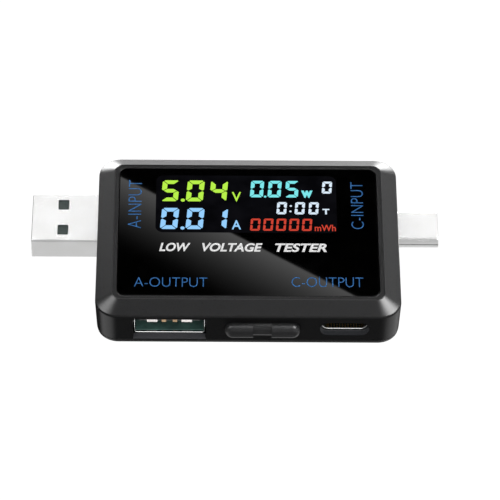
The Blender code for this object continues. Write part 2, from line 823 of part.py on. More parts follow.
def build_plug_a():
    """The type A plug: drawn shell, tongue in its upper half, four flat contacts."""
    tip = -BODY_LENGTH / 2 - PLUG_A_REACH
    frame = place("plug_a_place", (tip, PLUG_A_Y, PLUG_LEVEL), -math.pi / 2)
    length = PLUG_A_REACH + PLUG_A_ROOT
    shell = tube(
        "type_a_plug_shell",
        NICKEL_SHELL,
        frame,
        (PLUG_A_WIDTH, PLUG_A_HEIGHT),
        PLUG_A_RADIUS,
        PLUG_A_WALL,
        (-length, 0),
    )
    hole_z = -PLUG_A_HOLE_FROM_TIP - PLUG_A_HOLE_ALONG / 2
    for index, side in enumerate((-1, 1), start=1):
        for face in (-1, 1):
            window = box(
                f"latch_window_{index}_{'top' if face > 0 else 'base'}",
                None,
                (PLUG_A_HOLE_ACROSS, 4 * PLUG_A_WALL, PLUG_A_HOLE_ALONG),
                (side * PLUG_A_HOLE_PITCH / 2, face * PLUG_A_HEIGHT / 2, hole_z),
                frame,
            )
            cut(shell, window)
    inner_width = PLUG_A_WIDTH - 2 * PLUG_A_WALL - 2 * SEAT
    inner_height = PLUG_A_HEIGHT - 2 * PLUG_A_WALL - 2 * SEAT
    tongue_low = inner_height / 2 - PLUG_A_TONGUE
    tongue_back = -length + PLUG_A_ROOT
    bore_radius = PLUG_A_RADIUS - PLUG_A_WALL
    spans = (-length + 4 * SEAT, -PLUG_A_WALL)
    tongue = loft(
        "type_a_plug_tongue",
        BLACK_INSULATOR,
        [(z, inner_width, inner_height, bore_radius) for z in spans],
        frame,
    )
    clearing = box(
        "plug_a_clearing",
        None,
        (PLUG_A_WIDTH, inner_height, PLUG_A_REACH),
        (0, tongue_low - inner_height / 2, tongue_back + PLUG_A_REACH / 2),
        frame,
    )
    cut(tongue, clearing)
    for index, x in enumerate(A_CONTACT_PLACES, start=1):
        outer = index in (1, 4)
        front = -(1.0 if outer else 2.0) * MM
        back = tongue_back - SEAT
        y = tongue_low - SEAT - PLUG_A_CONTACT_THICKNESS / 2
        box(
            f"type_a_plug_contact_{index}",
            GOLD_CONTACT,
            (PLUG_A_CONTACT_WIDTH, PLUG_A_CONTACT_THICKNESS, front - back - 2 * SEAT),
            (x, y, (front + back) / 2 + 2 * SEAT),
            frame,
        )


def build_socket_a():
    """The type A socket: folded shell, block with a tongue, four sprung contacts."""
    mouth = (SOCKET_A_X, FRONT_Y + SOCKET_A_RECESS, SOCKET_A_LEVEL)
    frame = place("socket_a_place", mouth, 0)
    tube(
        "type_a_socket_shell",
        NICKEL_SHELL,
        frame,
        (SOCKET_A_WIDTH, SOCKET_A_HEIGHT),
        SOCKET_A_RADIUS,
        SOCKET_A_WALL,
        (-SOCKET_A_LENGTH, 0),
    )
    inner_width = SOCKET_A_WIDTH - 2 * SOCKET_A_WALL - 2 * SEAT
    inner_height = SOCKET_A_HEIGHT - 2 * SOCKET_A_WALL - 2 * SEAT
    tongue_low = 0.02 * MM
    front = -SOCKET_A_TONGUE_BACK
    back = -SOCKET_A_LENGTH + SOCKET_A_BLOCK
    tongue = box(
        "type_a_socket_tongue",
        BLACK_INSULATOR,
        (SOCKET_A_TONGUE_WIDTH, SOCKET_A_TONGUE_HEIGHT, front - back + SEAT),
        (0, tongue_low + SOCKET_A_TONGUE_HEIGHT / 2, (front + back - SEAT) / 2),
        frame,
    )
    spans = (-SOCKET_A_LENGTH + SEAT, back)
    bore_radius = max(SOCKET_A_RADIUS - SOCKET_A_WALL, 2 * SEAT)
    block = loft(
        "socket_a_block",
        None,
        [(z, inner_width, inner_height, bore_radius) for z in spans],
        frame,
    )
    join(tongue, block)
    half = SOCKET_A_CONTACT_THICKNESS / 2
    lip_z = front + SEAT + half
    under = tongue_low - SEAT - half
    profile = [
        (under + SOCKET_A_TONGUE_HEIGHT / 2, lip_z),
        (under, lip_z),
        (under - SOCKET_A_CONTACT_SPRING, front - 1.2 * MM),
        (under - SOCKET_A_CONTACT_SPRING, front - 2.4 * MM),
        (under, front - 3.6 * MM),
        (under, back + 2 * SEAT),
    ]
    places = zip(SOCKET_A_CONTACT_PLACES, SOCKET_A_CONTACT_WIDTHS)
    for index, (x, width) in enumerate(places, start=1):
        look = SILVER_CONTACT if index in (1, 4) else GOLD_CONTACT
        name = f"type_a_socket_contact_{index}"
        ribbon(name, look, profile, width, 2 * half, frame, x)


def build_plug_c():
    """The type C plug: stadium shell and a slotted insulator with a rear block."""
    tip = BODY_LENGTH / 2 + PLUG_C_REACH
    frame = place("plug_c_place", (tip, PLUG_C_Y, PLUG_LEVEL), math.pi / 2)
    length = PLUG_C_REACH + PLUG_C_ROOT
    tube(
        "type_c_plug_shell",
        NICKEL_SHELL,
        frame,
        (PLUG_C_WIDTH, PLUG_C_HEIGHT),
        PLUG_C_HEIGHT / 2,
        PLUG_C_WALL,
        (-length, 0),
    )
    inner_width = PLUG_C_WIDTH - 2 * PLUG_C_WALL - 2 * SEAT
    inner_height = PLUG_C_HEIGHT - 2 * PLUG_C_WALL - 2 * SEAT
    spans = (-length + 0.2 * MM, -0.15 * MM)
    insert = loft(
        "type_c_plug_insulator",
        BLACK_INSULATOR,
        [(z, inner_width, inner_height, inner_height / 2) for z in spans],
        frame,
    )
    slot_spans = (-PLUG_C_SLOT_DEPTH, 2 * SEAT)
    slot_radius = PLUG_C_SLOT_HEIGHT / 4
    slot = loft(
        "plug_c_slot",
        None,
        [(z, PLUG_C_SLOT_WIDTH, PLUG_C_SLOT_HEIGHT, slot_radius) for z in slot_spans],
        frame,
    )
    cut(insert, slot)
    block_z = -length - 2 * SEAT - PLUG_C_BLOCK_LENGTH / 2
    block = box(
        "type_c_plug_block",
        BLACK_INSULATOR,
        (PLUG_C_WIDTH, PLUG_C_BLOCK_HEIGHT, PLUG_C_BLOCK_LENGTH),
        (0, 0, block_z),
        frame,
    )
    foot_low = BOARD_TOP_Z + SEAT - PLUG_LEVEL
    foot = box(
        "plug_c_foot",
        None,
        (PLUG_C_FOOT_WIDTH, -foot_low, PLUG_C_FOOT_LENGTH),
        (0, foot_low / 2, block_z),
        frame,
    )
    join(block, foot)


def build_socket_c():
    """The type C socket: stadium shell and a block with a thin tongue."""
    mouth = (SOCKET_C_X, FRONT_Y + SOCKET_C_RECESS, SOCKET_C_LEVEL)
    frame = place("socket_c_place", mouth, 0)
    tube(
        "type_c_socket_shell",
        NICKEL_SHELL,
        frame,
        (SOCKET_C_WIDTH, SOCKET_C_HEIGHT),
        SOCKET_C_HEIGHT / 2,
        SOCKET_C_WALL,
        (-SOCKET_C_LENGTH, 0),
    )
    inner_width = SOCKET_C_WIDTH - 2 * SOCKET_C_WALL - 2 * SEAT
    inner_height = SOCKET_C_HEIGHT - 2 * SOCKET_C_WALL - 2 * SEAT
    block_front = -SOCKET_C_LENGTH + SOCKET_C_BLOCK
    spans = (-SOCKET_C_LENGTH + SEAT, block_front)
    block = loft(
        "type_c_socket_tongue",
        BLACK_INSULATOR,
        [(z, inner_width, inner_height, inner_height / 2) for z in spans],
        frame,
    )
    front = -SOCKET_C_TONGUE_BACK
    tongue = box(
        "socket_c_blade",
        None,
        (SOCKET_C_TONGUE_WIDTH, SOCKET_C_TONGUE_HEIGHT, front - block_front + SEAT),
        (0, 0, (front + block_front - SEAT) / 2),
        frame,
    )
    join(block, tongue)


def build_key():
    """The key: a pill with two lobes and a saddle, a flange that keeps it in."""
    frame = place("key_place", (KEY_X, FRONT_Y, KEY_LEVEL), 0)
    flange_front = -WALL - FIT
    flange_back = flange_front - KEY_FLANGE
    edge_steps = 3
    front = []
    for step in range(edge_steps + 1):
        angle = step / edge_steps * math.pi / 2
        inset = KEY_EDGE * (1 - math.cos(angle))
        z = KEY_PROUD - KEY_EDGE + KEY_EDGE * math.sin(angle)
        front.append((z, KEY_WIDTH - 2 * inset, KEY_HEIGHT - 2 * inset, KEY_HEIGHT))
    key = loft(
        "function_key",
        HOUSING_PLASTIC,
        [(flange_front - KEY_FLANGE / 2, KEY_WIDTH, KEY_HEIGHT, KEY_HEIGHT), *front],
        frame,
    )
    saddle = box(
        "key_saddle",
        None,
        (KEY_SADDLE_WIDTH, 2 * KEY_HEIGHT, 2 * KEY_SADDLE_DROP),
        (0, 0, KEY_PROUD),
        frame,
    )
    cut(key, saddle)
    flange = slab(
        "key_flange",
        None,
        (
            KEY_WIDTH + 2 * KEY_FLANGE_MARGIN,
            KEY_HEIGHT + KEY_FLANGE_RISE,
            KEY_FLANGE,
        ),
        (0, 0, (flange_front + flange_back) / 2),
        KEY_HEIGHT / 2,
        frame,
    )
    nose = box(
        "key_nose",
        None,
        (PLUNGER_WIDTH, PLUNGER_HEIGHT, KEY_NOSE + KEY_FLANGE / 2),
        (0, 0, flange_back - KEY_NOSE / 2 + KEY_FLANGE / 4),
        frame,
    )
    join(key, flange, nose)
    build_switch(frame, flange_back - KEY_NOSE - SEAT)


def build_switch(frame, plunger_front):
    """The side-pressed switch behind the key: body, plunger and folded cover."""
    face = plunger_front - PLUNGER_PROUD
    level = BOARD_TOP_Z + SEAT + SWITCH_HEIGHT / 2 - KEY_LEVEL
    body_front = face - SWITCH_COVER - SEAT
    body = box(
        "switch_body",
        CHIP_EPOXY,
        (SWITCH_WIDTH, SWITCH_HEIGHT, SWITCH_DEPTH),
        (0, level, body_front - SWITCH_DEPTH / 2),
        frame,
    )
    slot_size = (PLUNGER_WIDTH + 2 * FIT, PLUNGER_HEIGHT + 2 * FIT)
    plunger_back = body_front - PLUNGER_DEEP
    slot_back = plunger_back - KEY_TRAVEL - FIT
    cut(
        body,
        box(
            "plunger_slot",
            None,
            (*slot_size, 2 * (body_front - slot_back)),
            (0, 0, body_front),
            frame,
        ),
    )
    box(
        "switch_plunger",
        WHITE_INSULATOR,
        (PLUNGER_WIDTH, PLUNGER_HEIGHT, plunger_front - plunger_back),
        (0, 0, (plunger_front + plunger_back) / 2),
        frame,
    )
    cover = box(
        "switch_cover",
        SILVER_CONTACT,
        (SWITCH_WIDTH, SWITCH_HEIGHT, SWITCH_COVER),
        (0, level, face - SWITCH_COVER / 2),
        frame,
    )
    cut(
        cover,
        box(
            "cover_window",
            None,
            (*slot_size, 4 * SWITCH_COVER),
            (0, 0, face),
            frame,
        ),
    )


def on_board(name, look, size, x, y, edge=0.0):
    """A component standing on the board's top face; size and place are in mm."""
    size = tuple(side * MM for side in size)
    z = BOARD_TOP_Z + SEAT + size[2] / 2
    return box(name, look, size, (x * MM, y * MM, z), edge=edge)


def build_components():
    """What the meter needs to measure, switch and regulate, as moulded packages.
    The rear rows step forward from the ribbon's foot, the front row from the wall."""
    rear = (DISPLAY_REAR_Y - RIBBON_FOOT) / MM
    front = FRONT_Y / MM
    on_board("controller_chip", CHIP_EPOXY, (7.0, 7.0, 1.4), -3.0, rear - 6.1, 0.15 * MM)
    on_board("crystal", SILVER_CONTACT, (3.2, 2.5, 0.8), -3.0, rear - 11.5, 0.12 * MM)
    on_board("regulator", CHIP_EPOXY, (6.5, 3.5, 1.6), 8.5, rear - 6.1, 0.15 * MM)
    on_board(
        "input_switch_chip", CHIP_EPOXY, (4.9, 3.9, 1.45), -13.5, rear - 7.1, 0.12 * MM
    )
    on_board("power_coil", COIL_FERRITE, (4.0, 4.0, 1.8), -13.5, rear - 1.6, 0.4 * MM)
    shunt_x = (SOCKET_A_X + SOCKET_A_WIDTH / 2) / MM + 5.25
    on_board(
        "shunt_resistor", RESISTOR_ALLOY, (6.3, 3.2, 0.6), shunt_x, front + 10.0, 0.1 * MM
    )
    on_board(
        "output_switch_chip", CHIP_EPOXY, (4.9, 3.9, 1.45), 5.5, front + 14.5, 0.12 * MM
    )
    on_board("protocol_chip", CHIP_EPOXY, (4.0, 4.0, 0.8), 10.5, front + 15.0, 0.1 * MM)
    places = ((3.5, 2.6), (3.5, 4.6), (3.5, 6.6), (13.8, 6.1))
    for index, (x, forward) in enumerate(places, start=1):
        name = f"filter_capacitor_{index}"
        size = (2.0, 1.25, 1.25)
        on_board(name, CAPACITOR_CERAMIC, size, x, rear - forward, 0.1 * MM)
    for index, x in enumerate((-9.0, -0.35, 8.3), start=1):
        size = (3.0, 1.4, 1.9)
        on_board(f"backlight_{index}", LIGHT_GUIDE, size, x, rear - 1.2, 0.1 * MM)


build_top_cover()
build_bottom_cover()
build_case_screws()
build_window_lens()
build_display()
build_main_board()
build_plug_a()
build_socket_a()
build_plug_c()
build_socket_c()
build_key()
build_components()
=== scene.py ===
"""Inline power meter: the finished surfaces of the housing, window, display, plugs, sockets
and key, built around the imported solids, with a camera, a pale floor and soft studio light."""

import math

import bpy
import numpy as np
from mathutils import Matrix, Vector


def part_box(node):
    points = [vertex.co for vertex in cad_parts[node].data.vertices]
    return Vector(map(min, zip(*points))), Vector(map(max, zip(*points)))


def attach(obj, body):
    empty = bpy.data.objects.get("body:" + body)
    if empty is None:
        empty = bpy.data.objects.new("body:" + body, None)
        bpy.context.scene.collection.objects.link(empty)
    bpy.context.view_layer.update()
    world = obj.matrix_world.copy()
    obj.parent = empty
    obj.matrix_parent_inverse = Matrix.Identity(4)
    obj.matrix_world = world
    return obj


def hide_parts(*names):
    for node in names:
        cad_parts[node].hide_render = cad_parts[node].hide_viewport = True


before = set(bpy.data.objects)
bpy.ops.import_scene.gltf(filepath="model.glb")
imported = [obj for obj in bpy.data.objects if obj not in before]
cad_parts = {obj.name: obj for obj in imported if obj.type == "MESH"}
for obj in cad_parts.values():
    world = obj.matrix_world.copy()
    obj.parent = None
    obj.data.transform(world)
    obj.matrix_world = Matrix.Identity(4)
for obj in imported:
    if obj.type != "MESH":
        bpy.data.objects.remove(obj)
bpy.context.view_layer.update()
scene = bpy.context.scene
MM = 0.001


# ---- Camera ----------------------------------------------------------------------------
# A long lens in front of the meter and well above it, turned and rolled by about a degree.
CAMERA_TARGET = (0, 0, 4.685)
CAMERA_DISTANCE = 668.5
CAMERA_ELEVATION = math.radians(46.705)
CAMERA_TURN = math.radians(-0.874)
CAMERA_ROLL = math.radians(0.956)
LENS_LENGTH = 259.8
LENS_SHIFT = (0.00438, -0.0026)


def camera_axes(turn, elevation, roll):
    """The camera's right, up and back directions. Back points from the target to the camera:
    (sin turn cos elevation, -cos turn cos elevation, sin elevation). Roll turns the other two."""
    back = np.array(
        [
            math.sin(turn) * math.cos(elevation),
            -math.cos(turn) * math.cos(elevation),
            math.sin(elevation),
        ]
    )
    right = np.array([math.cos(turn), math.sin(turn), 0.0])
    up = np.cross(back, right)
    rolled = math.cos(roll) * right + math.sin(roll) * up
    return rolled, math.cos(roll) * up - math.sin(roll) * right, back


axes = camera_axes(CAMERA_TURN, CAMERA_ELEVATION, CAMERA_ROLL)
camera_place = np.array(CAMERA_TARGET) + axes[2] * CAMERA_DISTANCE
camera = bpy.data.objects.new("camera", bpy.data.cameras.new("camera"))
matrix = np.eye(4)
matrix[:3, :3] = np.transpose(axes)
matrix[:3, 3] = camera_place * MM
camera.matrix_world = matrix.T.tolist()
camera.data.sensor_width = 36
camera.data.lens = LENS_LENGTH
camera.data.shift_x, camera.data.shift_y = LENS_SHIFT
camera.data.clip_start, camera.data.clip_end = 0.01, 10
scene.collection.objects.link(camera)
scene.camera = camera


# ---- Upper housing ---------------------------------------------------------------------
# A moulded ABS shell with drafted walls, a small round at the shoulder and a sloped bezel
# round the window. It has holes for five ports and four bosses that take the screws.
BODY = (55.7, 40.1)
DRAFT = 0.25
WALL = 1.4
PARTING = 1.48
SHOULDER = 7.95
TOP = 9.45
RIM_LEVEL = 9.30
BEZEL_RUN = 3.1
LENS_INSET = 3.95
LENS_BED = 8.45
CEILING = 7.9
OPENING_INSET = LENS_INSET + 1.3
BOSS_RADIUS = 1.7
PILOT_RADIUS = 0.85
PLAN_RADII = ([0, BEZEL_RUN, LENS_INSET, 14], [4.2, 1.6, 1.5, 0.6])
PORT_GAP = 0.1
PORT_CHAMFER = 0.1
SCREW_PLACES = [(x, y) for x in (-23.85, 23.85) for y in (-16.05, 16.05)]


def eased(corners, steps=4, hold=0.03):
    """A closed outline with round corners. At a corner (u, v, r) the arc of radius r touches
    both sides at r / tan(half the corner's angle) from it, and is swept evenly about the
    centre on the corner's bisector. A point just past each end keeps the flats flat."""
    corners = np.array(corners, float)
    flat, radius = corners[:, :2], corners[:, 2:]
    before = np.roll(flat, 1, 0) - flat
    after = np.roll(flat, -1, 0) - flat
    before /= np.linalg.norm(before, axis=1, keepdims=True)
    after /= np.linalg.norm(after, axis=1, keepdims=True)
    half = np.arccos(np.clip((before * after).sum(1, keepdims=True), -1, 1)) / 2
    reach = radius / np.tan(half)
    middle = (before + after) / np.linalg.norm(before + after, axis=1, keepdims=True)
    centre = flat + middle * radius / np.sin(half)
    start, end = flat + before * reach - centre, flat + after * reach - centre
    sweep = (np.pi - 2 * half)[:, None]
    share = np.linspace(0, 1, steps + 1)[None, :, None]
    arc = np.sin((1 - share) * sweep) * start[:, None] + np.sin(share * sweep) * end[:, None]
    arc = centre[:, None] + arc / np.sin(sweep)
    first = (flat + before * (reach + hold))[:, None]
    last = (flat + after * (reach + hold))[:, None]
    return np.concatenate([first, arc, last], axis=1).reshape(-1, 2)


def carried_round(profile, size, radii, steps=12):
    """A profile carried round a rectangle with round corners. A point (inset, level) follows
    the rectangle drawn in by inset: corner centre plus radius times (cos, sin) of the angle.
    Its corner radius is read from radii, a pair of lists of insets and of radii."""
    inset, level = np.array(profile, float).T[:, :, None]
    radius = np.interp(inset, *radii)
    quarter = np.repeat(np.arange(4), steps + 1)
    angle = (quarter + np.tile(np.linspace(0, 1, steps + 1), 4)) * np.pi / 2
    side_x = np.array([1, -1, -1, 1])[quarter]
    side_y = np.array([1, 1, -1, -1])[quarter]
    x = side_x * (size[0] / 2 - inset - radius) + radius * np.cos(angle)
    y = side_y * (size[1] / 2 - inset - radius) + radius * np.sin(angle)
    return np.stack([x, y, level + 0 * x], axis=-1)


def skin(grid, ring=False):
    """The faces of a grid of points whose columns close round. Each quad joins two neighbours
    in a row to the two above them; the rows close too in a ring, or else the ends are capped."""
    rows, columns = grid.shape[:2]
    index = np.arange(rows * columns).reshape(rows, columns)
    round_index = np.hstack([index, index[:, :1]])
    if ring:
        round_index = np.vstack([round_index, round_index[:1]])
    low, high = round_index[:-1], round_index[1:]
    quads = np.stack([low[:, :-1], low[:, 1:], high[:, 1:], high[:, :-1]], axis=-1)
    faces = quads.reshape(-1, 4).tolist()
    if not ring:
        faces += [index[0, ::-1].tolist(), index[-1].tolist()]
    return grid.reshape(-1, 3), faces


def placed(surface, place, turn=0.0):
    """A surface moved to a port's mouth: its Z points out of the wall, its Y is up. Turn 0
    faces the front, and the turn is about the upright axis."""
    points, faces = surface
    x, y, z = points.T
    across, out = x, -z
    moved = np.stack(
        [
            across * math.cos(turn) - out * math.sin(turn),
            across * math.sin(turn) + out * math.cos(turn),
            y,
        ],
        axis=-1,
    )
    return moved + np.array(place, float), faces


def lifted(surface, place):
    """A surface moved without turning."""
    return surface[0] + np.array(place, float), surface[1]


def make(name, finish, *surfaces, sharp=32):
    """One mesh object from surfaces in millimetres, shaded smooth up to the sharp angle."""
    starts = np.cumsum([0] + [len(points) for points, _ in surfaces])
    faces = [
        [corner + int(start) for corner in face]
        for start, (_, face_list) in zip(starts, surfaces)
        for face in face_list
    ]
    points = np.concatenate([points for points, _ in surfaces]) * MM
    mesh = bpy.data.meshes.new(name)
    mesh.from_pydata(points.tolist(), [], faces)
    obj = bpy.data.objects.new(name, mesh)
    scene.collection.objects.link(obj)
    if finish is not None:
        mesh.materials.append(finish)
    mesh.shade_smooth()
    mesh.set_sharp_from_angle(angle=math.radians(sharp))
    return obj


def carve(obj, *others, operation="DIFFERENCE", sharp=32):
    """Cuts surfaces from an object, or joins them to it, and keeps the result as its mesh."""
    tools = [make(f"tool_{index}", None, other) for index, other in enumerate(others)]
    for tool in tools:
        step = obj.modifiers.new(tool.name, "BOOLEAN")
        step.operation = operation
        step.object = tool
    graph = bpy.context.evaluated_depsgraph_get()
    mesh = bpy.data.meshes.new_from_object(obj.evaluated_get(graph))
    obj.modifiers.clear()
    old = obj.data
    obj.data = mesh
    bpy.data.meshes.remove(old)
    for tool in tools:
        bpy.data.meshes.remove(tool.data)
    mesh.shade_smooth()
    mesh.set_sharp_from_angle(angle=math.radians(sharp))
    return obj


def settle(obj, body, slot, *nodes):
    """The piece moves with its body and stands for the CAD nodes, which it hides. The slot is not
    used.
    """
    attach(obj, body)
    if nodes:
        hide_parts(*nodes)
    return obj


def box_mm(node):
    """The centre and the size of a CAD node, in millimetres."""
    low, high = (np.array(corner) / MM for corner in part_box(node))
    return (low + high) / 2, high - low


def port_cut(size, radius, depth=3.1):
    """A hole's cutter: straight through the wall, opening by a small chamfer at the face."""
    profile = [(0, -depth), (0, -PORT_CHAMFER), (-1.5 * PORT_CHAMFER, PORT_CHAMFER / 2)]
    profile.append((-1.5 * PORT_CHAMFER, depth))
    reach = 1.5 * PORT_CHAMFER
    radii = ([-reach, 0], [radius + reach, radius])
    return skin(carried_round(profile, size, radii))


def disc_cut(radius, low, high):
    """An upright cylinder between two levels."""
    size = (2 * radius, 2 * radius)
    return skin(carried_round([(0, low), (0, high)], size, ([0], [radius]), steps=8))


def linear(hex_value):
    """An sRGB hex value as linear red, green, blue and alpha: c / 12.92 below 0.04045, else
    ((c + 0.055) / 1.055) to the power 2.4."""
    value = np.array([int(hex_value[i : i + 2], 16) for i in (1, 3, 5)]) / 255
    bright = ((value + 0.055) / 1.055) ** 2.4
    return (*np.where(value <= 0.04045, value / 12.92, bright).tolist(), 1.0)


def add_node(tree, kind, inputs=None, **settings):
    """Adds a node. Each input is set to a value, or linked where it is an output socket."""
    node = tree.nodes.new(kind)
    for key, value in settings.items():
        setattr(node, key, value)
    for key, value in (inputs or {}).items():
        if isinstance(value, bpy.types.NodeSocket):
            tree.links.new(value, node.inputs[key])
        else:
            node.inputs[key].default_value = value
    return node


def new_finish(name):
    """An empty material, with its node tree and Object coordinates to draw patterns on."""
    material = bpy.data.materials.new(name)
    material.use_nodes = True
    material.node_tree.nodes.clear()
    coordinates = add_node(material.node_tree, "ShaderNodeTexCoord").outputs["Object"]
    return material, material.node_tree, coordinates


def close_with(tree, shader, inputs, **settings):
    """Adds the surface shader and the output that it feeds."""
    node = add_node(tree, shader, inputs, **settings)
    add_node(tree, "ShaderNodeOutputMaterial", {"Surface": node.outputs[0]})
    return node


def grained_finish(
    name, dark, light, grain, roughness, more=None, ends=(0.35, 0.65), bump=0.0,
    pattern="ShaderNodeTexNoise", **settings
):
    """A finish with one pattern: grains of the given size in mm, drawn coarser than the real
    ones where those are too fine to show, move the colour between two hex values. Roughness is
    one value, or two that the grains move between."""
    material, tree, place = new_finish(name)
    settings = {"Detail": 3.0, **settings}
    noise = add_node(
        tree, pattern, {"Vector": place, "Scale": 1 / (grain * MM), **settings}
    ).outputs[0]
    shade = add_node(tree, "ShaderNodeValToRGB", {"Fac": noise})
    for element, position, value in zip(shade.color_ramp.elements, ends, (dark, light)):
        element.position = position
        element.color = linear(value)
    inputs = {"Base Color": shade.outputs["Color"], "Roughness": roughness, **(more or {})}
    if isinstance(roughness, tuple):
        low, high = roughness
        gloss = add_node(
            tree, "ShaderNodeMapRange", {"Value": noise, "To Min": low, "To Max": high}
        )
        inputs["Roughness"] = gloss.outputs["Result"]
    if bump:
        relief = {"Height": noise, "Strength": bump, "Distance": 0.01 * MM}
        inputs["Normal"] = add_node(tree, "ShaderNodeBump", relief).outputs["Normal"]
    close_with(tree, "ShaderNodeBsdfPrincipled", inputs)
    return material


def moulded_abs(name, dark, light, roughness, grain):
    """ABS moulded against a spark-eroded tool: a fine dull grain, with cloudy shade changes
    from the melt's flow. The real grain is about 0.05 mm; it is drawn at grain mm to show."""
    material, tree, place = new_finish(name)
    speck = add_node(
        tree,
        "ShaderNodeTexNoise",
        {"Vector": place, "Scale": 1 / (grain * MM), "Detail": 3.0, "Roughness": 0.6},
    )
    cloud = add_node(
        tree, "ShaderNodeTexNoise", {"Vector": place, "Scale": 90.0, "Detail": 2.0}
    )
    mixed = add_node(
        tree,
        "ShaderNodeMath",
        {0: cloud.outputs["Fac"], 1: speck.outputs["Fac"]},
        operation="MULTIPLY_ADD",
    )
    mixed.inputs[2].default_value = 0.25
    dull = add_node(
        tree,
        "ShaderNodeMapRange",
        {"Value": speck.outputs["Fac"], "To Min": roughness - 0.05, "To Max": roughness + 0.05},
    )
    bump = add_node(
        tree,
        "ShaderNodeBump",
        {"Height": speck.outputs["Fac"], "Strength": 0.12, "Distance": 0.02 * MM},
    )
    shade = add_node(tree, "ShaderNodeValToRGB", {"Fac": mixed.outputs[0]})
    for element, position, value in zip(shade.color_ramp.elements, (0.35, 0.65), (dark, light)):
        element.position = position
        element.color = linear(value)
    close_with(
        tree,
        "ShaderNodeBsdfPrincipled",
        {
            "Base Color": shade.outputs["Color"],
            "Roughness": dull.outputs["Result"],
            "Normal": bump.outputs["Normal"],
            "IOR": 1.5,
            "Specular IOR Level": 0.35,
        },
    )
    return material


charcoal_abs = moulded_abs("charcoal_moulded_abs", "#0b0b0c", "#111112", 0.29, 0.16)

upper_profile = eased(
    [
        (DRAFT, PARTING, 0.06),
        (0.0, SHOULDER - 0.15, 0.45),
        (BEZEL_RUN, TOP, 0.12),
        (BEZEL_RUN + 0.02, RIM_LEVEL, 0.03),
        (LENS_INSET - PORT_GAP, RIM_LEVEL, 0.06),
        (LENS_INSET - PORT_GAP, LENS_BED, 0.05),
        (OPENING_INSET, LENS_BED, 0.05),
        (OPENING_INSET, CEILING, 0.05),
        (BEZEL_RUN - 0.5, CEILING, 0.3),
        (WALL, SHOULDER - 1.05, 0.3),
        (WALL, PARTING, 0.06),
    ],
    steps=5,
)
upper_housing = make(
    "upper_housing",
    charcoal_abs,
    skin(carried_round(upper_profile, BODY, PLAN_RADII, steps=16), ring=True),
)
bosses = [
    lifted(disc_cut(BOSS_RADIUS, 1.25, CEILING + 0.3), (x, y, 0)) for x, y in SCREW_PLACES
]
carve(upper_housing, *bosses, operation="UNION")

socket_a_centre, socket_a_size = box_mm("type_a_socket_shell")
socket_c_centre, socket_c_size = box_mm("type_c_socket_shell")
plug_a_centre, plug_a_size = box_mm("type_a_plug_shell")
plug_c_centre, plug_c_size = box_mm("type_c_plug_shell")
key_centre = box_mm("function_key")[0]
KEY_SIZE = (13.6, 2.9)
KEY_LEVEL = 4.8
FRONT = -BODY[1] / 2
SIDE = BODY[0] / 2
HOOD = 0.8  # how far the wall hangs over the type A socket's upper edge
HOOD_BACK = 1.1
MOUTH_RADIUS = 0.25
PLUG_A_HOLE_RADIUS = 0.4
mouth_size = (socket_a_size[0] + 0.2, socket_a_size[2] + 0.2 - HOOD)
pocket_profile = [(0, -3.1), (0, -HOOD_BACK)]
pocket_size = (mouth_size[0], mouth_size[1] + HOOD)
holes = [
    placed(
        skin(carried_round(pocket_profile, pocket_size, ([0], [MOUTH_RADIUS]))),
        (socket_a_centre[0], FRONT, socket_a_centre[2]),
    ),
    placed(
        port_cut(mouth_size, MOUTH_RADIUS),
        (socket_a_centre[0], FRONT, socket_a_centre[2] - HOOD / 2),
    ),
    placed(
        port_cut((socket_c_size[0] + 0.1, socket_c_size[2] + 0.1), socket_c_size[2] / 2 + 0.05),
        (socket_c_centre[0], FRONT, socket_c_centre[2]),
    ),
    placed(
        port_cut((KEY_SIZE[0] + 0.2, KEY_SIZE[1] + 0.2), KEY_SIZE[1] / 2 + 0.1),
        (key_centre[0], FRONT, KEY_LEVEL),
    ),
    placed(
        port_cut((plug_a_size[1] + 0.2, plug_a_size[2] + 0.2), PLUG_A_HOLE_RADIUS),
        (-SIDE, plug_a_centre[1], plug_a_centre[2]),
        -math.pi / 2,
    ),
    placed(
        port_cut((plug_c_size[1] + 0.2, plug_c_size[2] + 0.2), plug_c_size[2] / 2 + 0.1),
        (SIDE, plug_c_centre[1], plug_c_centre[2]),
        math.pi / 2,
    ),
]
pilots = [lifted(disc_cut(PILOT_RADIUS, 0.5, 6.25), (x, y, 0)) for x, y in SCREW_PLACES]
carve(upper_housing, *holes, *pilots)
settle(upper_housing, "meter", "housing_plastic", "top_cover")


# ---- Lower housing ---------------------------------------------------------------------
# The moulded tray that closes the meter from below: a sloped skirt, a lip that locates
# inside the walls, four standoffs for the board and a sunk seat for each screw head.
LIP_INSET = WALL + PORT_GAP
lower_profile = eased(
    [
        (14, 0, 0.05),
        (1.3 + DRAFT, 0, 0.2),
        (0.38, 0.7, 0.25),
        (DRAFT, 1.4, 0.06),
        (LIP_INSET, 1.4, 0.04),
        (LIP_INSET, 1.9, 0.06),
        (LIP_INSET + 0.8, 1.9, 0.06),
        (LIP_INSET + 0.8, 1.2, 0.15),
        (14, 1.2, 0.05),
    ],
)
lower_housing = make(
    "lower_housing",
    charcoal_abs,
    skin(carried_round(lower_profile, BODY, PLAN_RADII, steps=16)),
)
STANDOFF_Y = 12.35
standoffs = [
    lifted(skin(carried_round([(0, 0.6), (0, 1.95)], (2, 2), ([0], [0.2]), steps=3)), (x, y, 0))
    for x in (-23.85, 23.85)
    for y in (-STANDOFF_Y, STANDOFF_Y)
]
carve(lower_housing, *standoffs, operation="UNION")
BOSS_POCKET = (1.9, 1.2, 4.0)  # radius, low, high
SHANK_HOLE = (0.92, -1.0, 2.0)
HEAD_SEAT = (1.62, -1.0, 0.65)
seats = [
    lifted(disc_cut(*cut), (*spot, 0))
    for spot in SCREW_PLACES
    for cut in (BOSS_POCKET, SHANK_HOLE, HEAD_SEAT)
]
carve(lower_housing, *seats)
settle(lower_housing, "meter", "housing_plastic", "bottom_cover")


